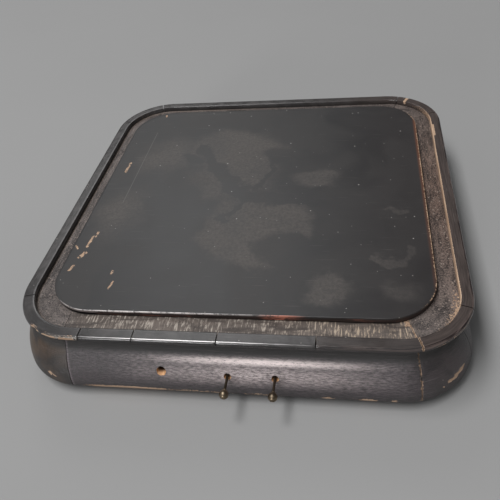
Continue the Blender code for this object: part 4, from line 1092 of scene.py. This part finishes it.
CYLINDER_AXIS = Vector((-32.3 * MM, 0, 33 * MM))
CYLINDER_RADIUS = 12 * MM
PIN_HEIGHT = 0.6 * MM
PIN_PROFILE = (mm(0.42, -0.4), (0.36 * MM, 0.4 * PIN_HEIGHT), (0.22 * MM, PIN_HEIGHT))
PIN_TRACKS = 30
PIN_PITCH = 76 * MM / PIN_TRACKS
FIRST_TRACK = -79.3 * MM
PINS_IN_TRACK = 13
SCREW_HEAD = 2.8 * MM
SCREW_SLOT = 0.18
SCREW_STEPS = 12
COMB_SCREW_X, COMB_SCREW_Z = -76.3 * MM, 34.3 * MM
COMB_SCREWS = ((1, -67.53 * MM, 0.5), (2, -16.87 * MM, 1.9))
BED_TOP = 12.3 * MM
BED_SCREWS = (mm(-93, -135), mm(14, -135), mm(14, 37), mm(-93, 37))


def build_pins():
    """Tune pins on the cylinder, in one track for each tooth of the comb."""
    chance = random.Random(11)
    shape = bmesh.new()
    for track in range(PIN_TRACKS):
        for _ in range(PINS_IN_TRACK):
            angle = 2 * pi * chance.random()
            out = Vector((cos(angle), 0, sin(angle)))
            root = CYLINDER_AXIS + CYLINDER_RADIUS * out + Vector((0, FIRST_TRACK + track * PIN_PITCH, 0))
            turned(shape, PIN_PROFILE, root, out.to_track_quat("Z", "Y").to_matrix(), 6)
    finish_mesh("cylinder_pins", shape, [STEEL], "cylinder")


def slotted_screw(shape, foot, height, shaft, length, turn):
    """A screw pointing up: shaft, foot of the head, and the head's halves on either side of its slot."""
    radius = SCREW_HEAD
    profile = [(shaft, -length), (shaft, 0), (radius, 0), (radius, 0.5 * height)]
    turned(shape, profile, foot, Matrix.Identity(3), 28)
    for half in (0, pi):
        rings = []
        for reach, rise in ((radius, 0.45), (radius, 0.8), (0.86 * radius, 1)):
            edge = asin(SCREW_SLOT * radius / reach)
            ring = []
            for step in range(SCREW_STEPS + 1):
                angle = half + turn + edge + (pi - 2 * edge) * step / SCREW_STEPS
                spot = Vector((reach * cos(angle), reach * sin(angle), rise * height))
                ring.append(shape.verts.new(foot + spot))
            rings.append(ring)
        close_rings(shape, rings)


def build_screws():
    """Slotted screws that hold the comb and the movement's bed."""
    for number, y, turn in COMB_SCREWS:
        shape = bmesh.new()
        foot = Vector((COMB_SCREW_X, y, COMB_SCREW_Z))
        slotted_screw(shape, foot, height=2 * MM, shaft=1.5 * MM, length=12 * MM, turn=turn)
        node = f"comb_screw_{number}"
        finish_mesh(f"slotted_{node}", shape, [STEEL], "case", [node])
    shape = bmesh.new()
    for number, place in enumerate(BED_SCREWS):
        foot = Vector((*place, BED_TOP))
        slotted_screw(shape, foot, height=1.5 * MM, shaft=1.4 * MM, length=2.5 * MM, turn=0.7 * number)
    finish_mesh("bed_screws", shape, [STEEL], "case")


FINISHES = {"raw_wood": PINE, "brass": BRASS, "aged_brass": AGED_BRASS, "steel": STEEL}


def finish_nodes():
    """Materials of the nodes that stay as they are."""
    for name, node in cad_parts.items():
        if node.hide_render:
            continue
        for holder in node.material_slots:
            holder.material = DARK_ROD if name.endswith("_rod") else FINISHES[holder.material.name]


bore_front(build_frame()["front"])
build_lip()
build_board()
build_pulls()
build_pins()
build_screws()
finish_nodes()


# Studio

FLOOR_SIZE = 14
SKY = 0.22
SKY_IN_GLOSS = 0.12
SKY_IN_VIEW = 0.31
CAMERA_AZIMUTH = radians(13.34)
CAMERA_ELEVATION = radians(37.29)
CAMERA_ROLL = radians(-8.52)
CAMERA_PLACE = (0.11383, -0.50338, 0.45489)


def make_floor():
    """A plain pale floor."""
    g = Graph("pale_floor")
    tone = g.cloud(g.place(), 3, 3, 0.5)
    g.colour = g.shades(tone, 0.2, 0.8, (285, 285, 285), (291, 291, 291))
    bpy.ops.mesh.primitive_grid_add(x_subdivisions=2, y_subdivisions=2, size=FLOOR_SIZE)
    floor = bpy.context.object
    floor.name = "floor"
    floor.data.materials.append(g.finish(0.9, specular=0))


def direction(azimuth, elevation):
    """Unit vector: azimuth from straight behind, right positive."""
    flat = cos(elevation)
    return Vector((sin(azimuth) * flat, cos(azimuth) * flat, sin(elevation)))


def far_softbox(name, azimuth, elevation, spread, strength):
    """A large far light, with its angles in degrees."""
    data = bpy.data.lights.new(name, "SUN")
    data.angle = radians(spread)
    data.energy = strength
    lamp = add_object(name, data)
    towards = -direction(radians(azimuth), radians(elevation))
    lamp.rotation_euler = towards.to_track_quat("-Z", "Y").to_euler()


def ceiling_strip(place, size, radiance):
    """A long overhead softbox facing the floor."""
    data = bpy.data.lights.new("ceiling_strip", "AREA")
    data.shape = "RECTANGLE"
    data.size, data.size_y = size
    data.energy = radiance * pi * size[0] * size[1]
    add_object("ceiling_strip", data).location = place


def make_sky():
    """Even light from all round, with its own levels as gloss and as the camera see it."""
    g = Graph("studio", "worlds")
    path = g.add("LightPath").node
    level = SKY
    for ray, seen in (("Is Glossy Ray", SKY_IN_GLOSS), ("Is Camera Ray", SKY_IN_VIEW)):
        level = g.add("Math", {0: path.outputs[ray], 1: seen - SKY, 2: level}, operation="MULTIPLY_ADD")
    SCENE.world = g.output("World", g.add("Background", {"Color": (1000, 1000, 1000), "Strength": level}))


def make_camera():
    data = bpy.data.cameras.new("camera")
    data.sensor_width = 36
    data.lens = 43.62
    data.shift_y = -0.1012
    data.clip_start = 0.01
    camera = add_object("camera", data)
    back = direction(pi - CAMERA_AZIMUTH, CAMERA_ELEVATION)
    flat = Vector((cos(CAMERA_AZIMUTH), sin(CAMERA_AZIMUTH), 0))
    right = flat * cos(CAMERA_ROLL) + back.cross(flat) * sin(CAMERA_ROLL)
    camera.matrix_world = Matrix((right, back.cross(right), back)).transposed().to_4x4()
    camera.location = CAMERA_PLACE
    SCENE.camera = camera


make_floor()
far_softbox("back_softbox", azimuth=-21, elevation=43, spread=22, strength=0.27)
far_softbox("front_softbox", azimuth=-161, elevation=9, spread=14, strength=0.95)
ceiling_strip(place=(-1.92, -1.7, 6), size=(1.6, 5.2), radiance=17)
make_sky()
make_camera()
SCENE.view_settings.view_transform = "Standard"
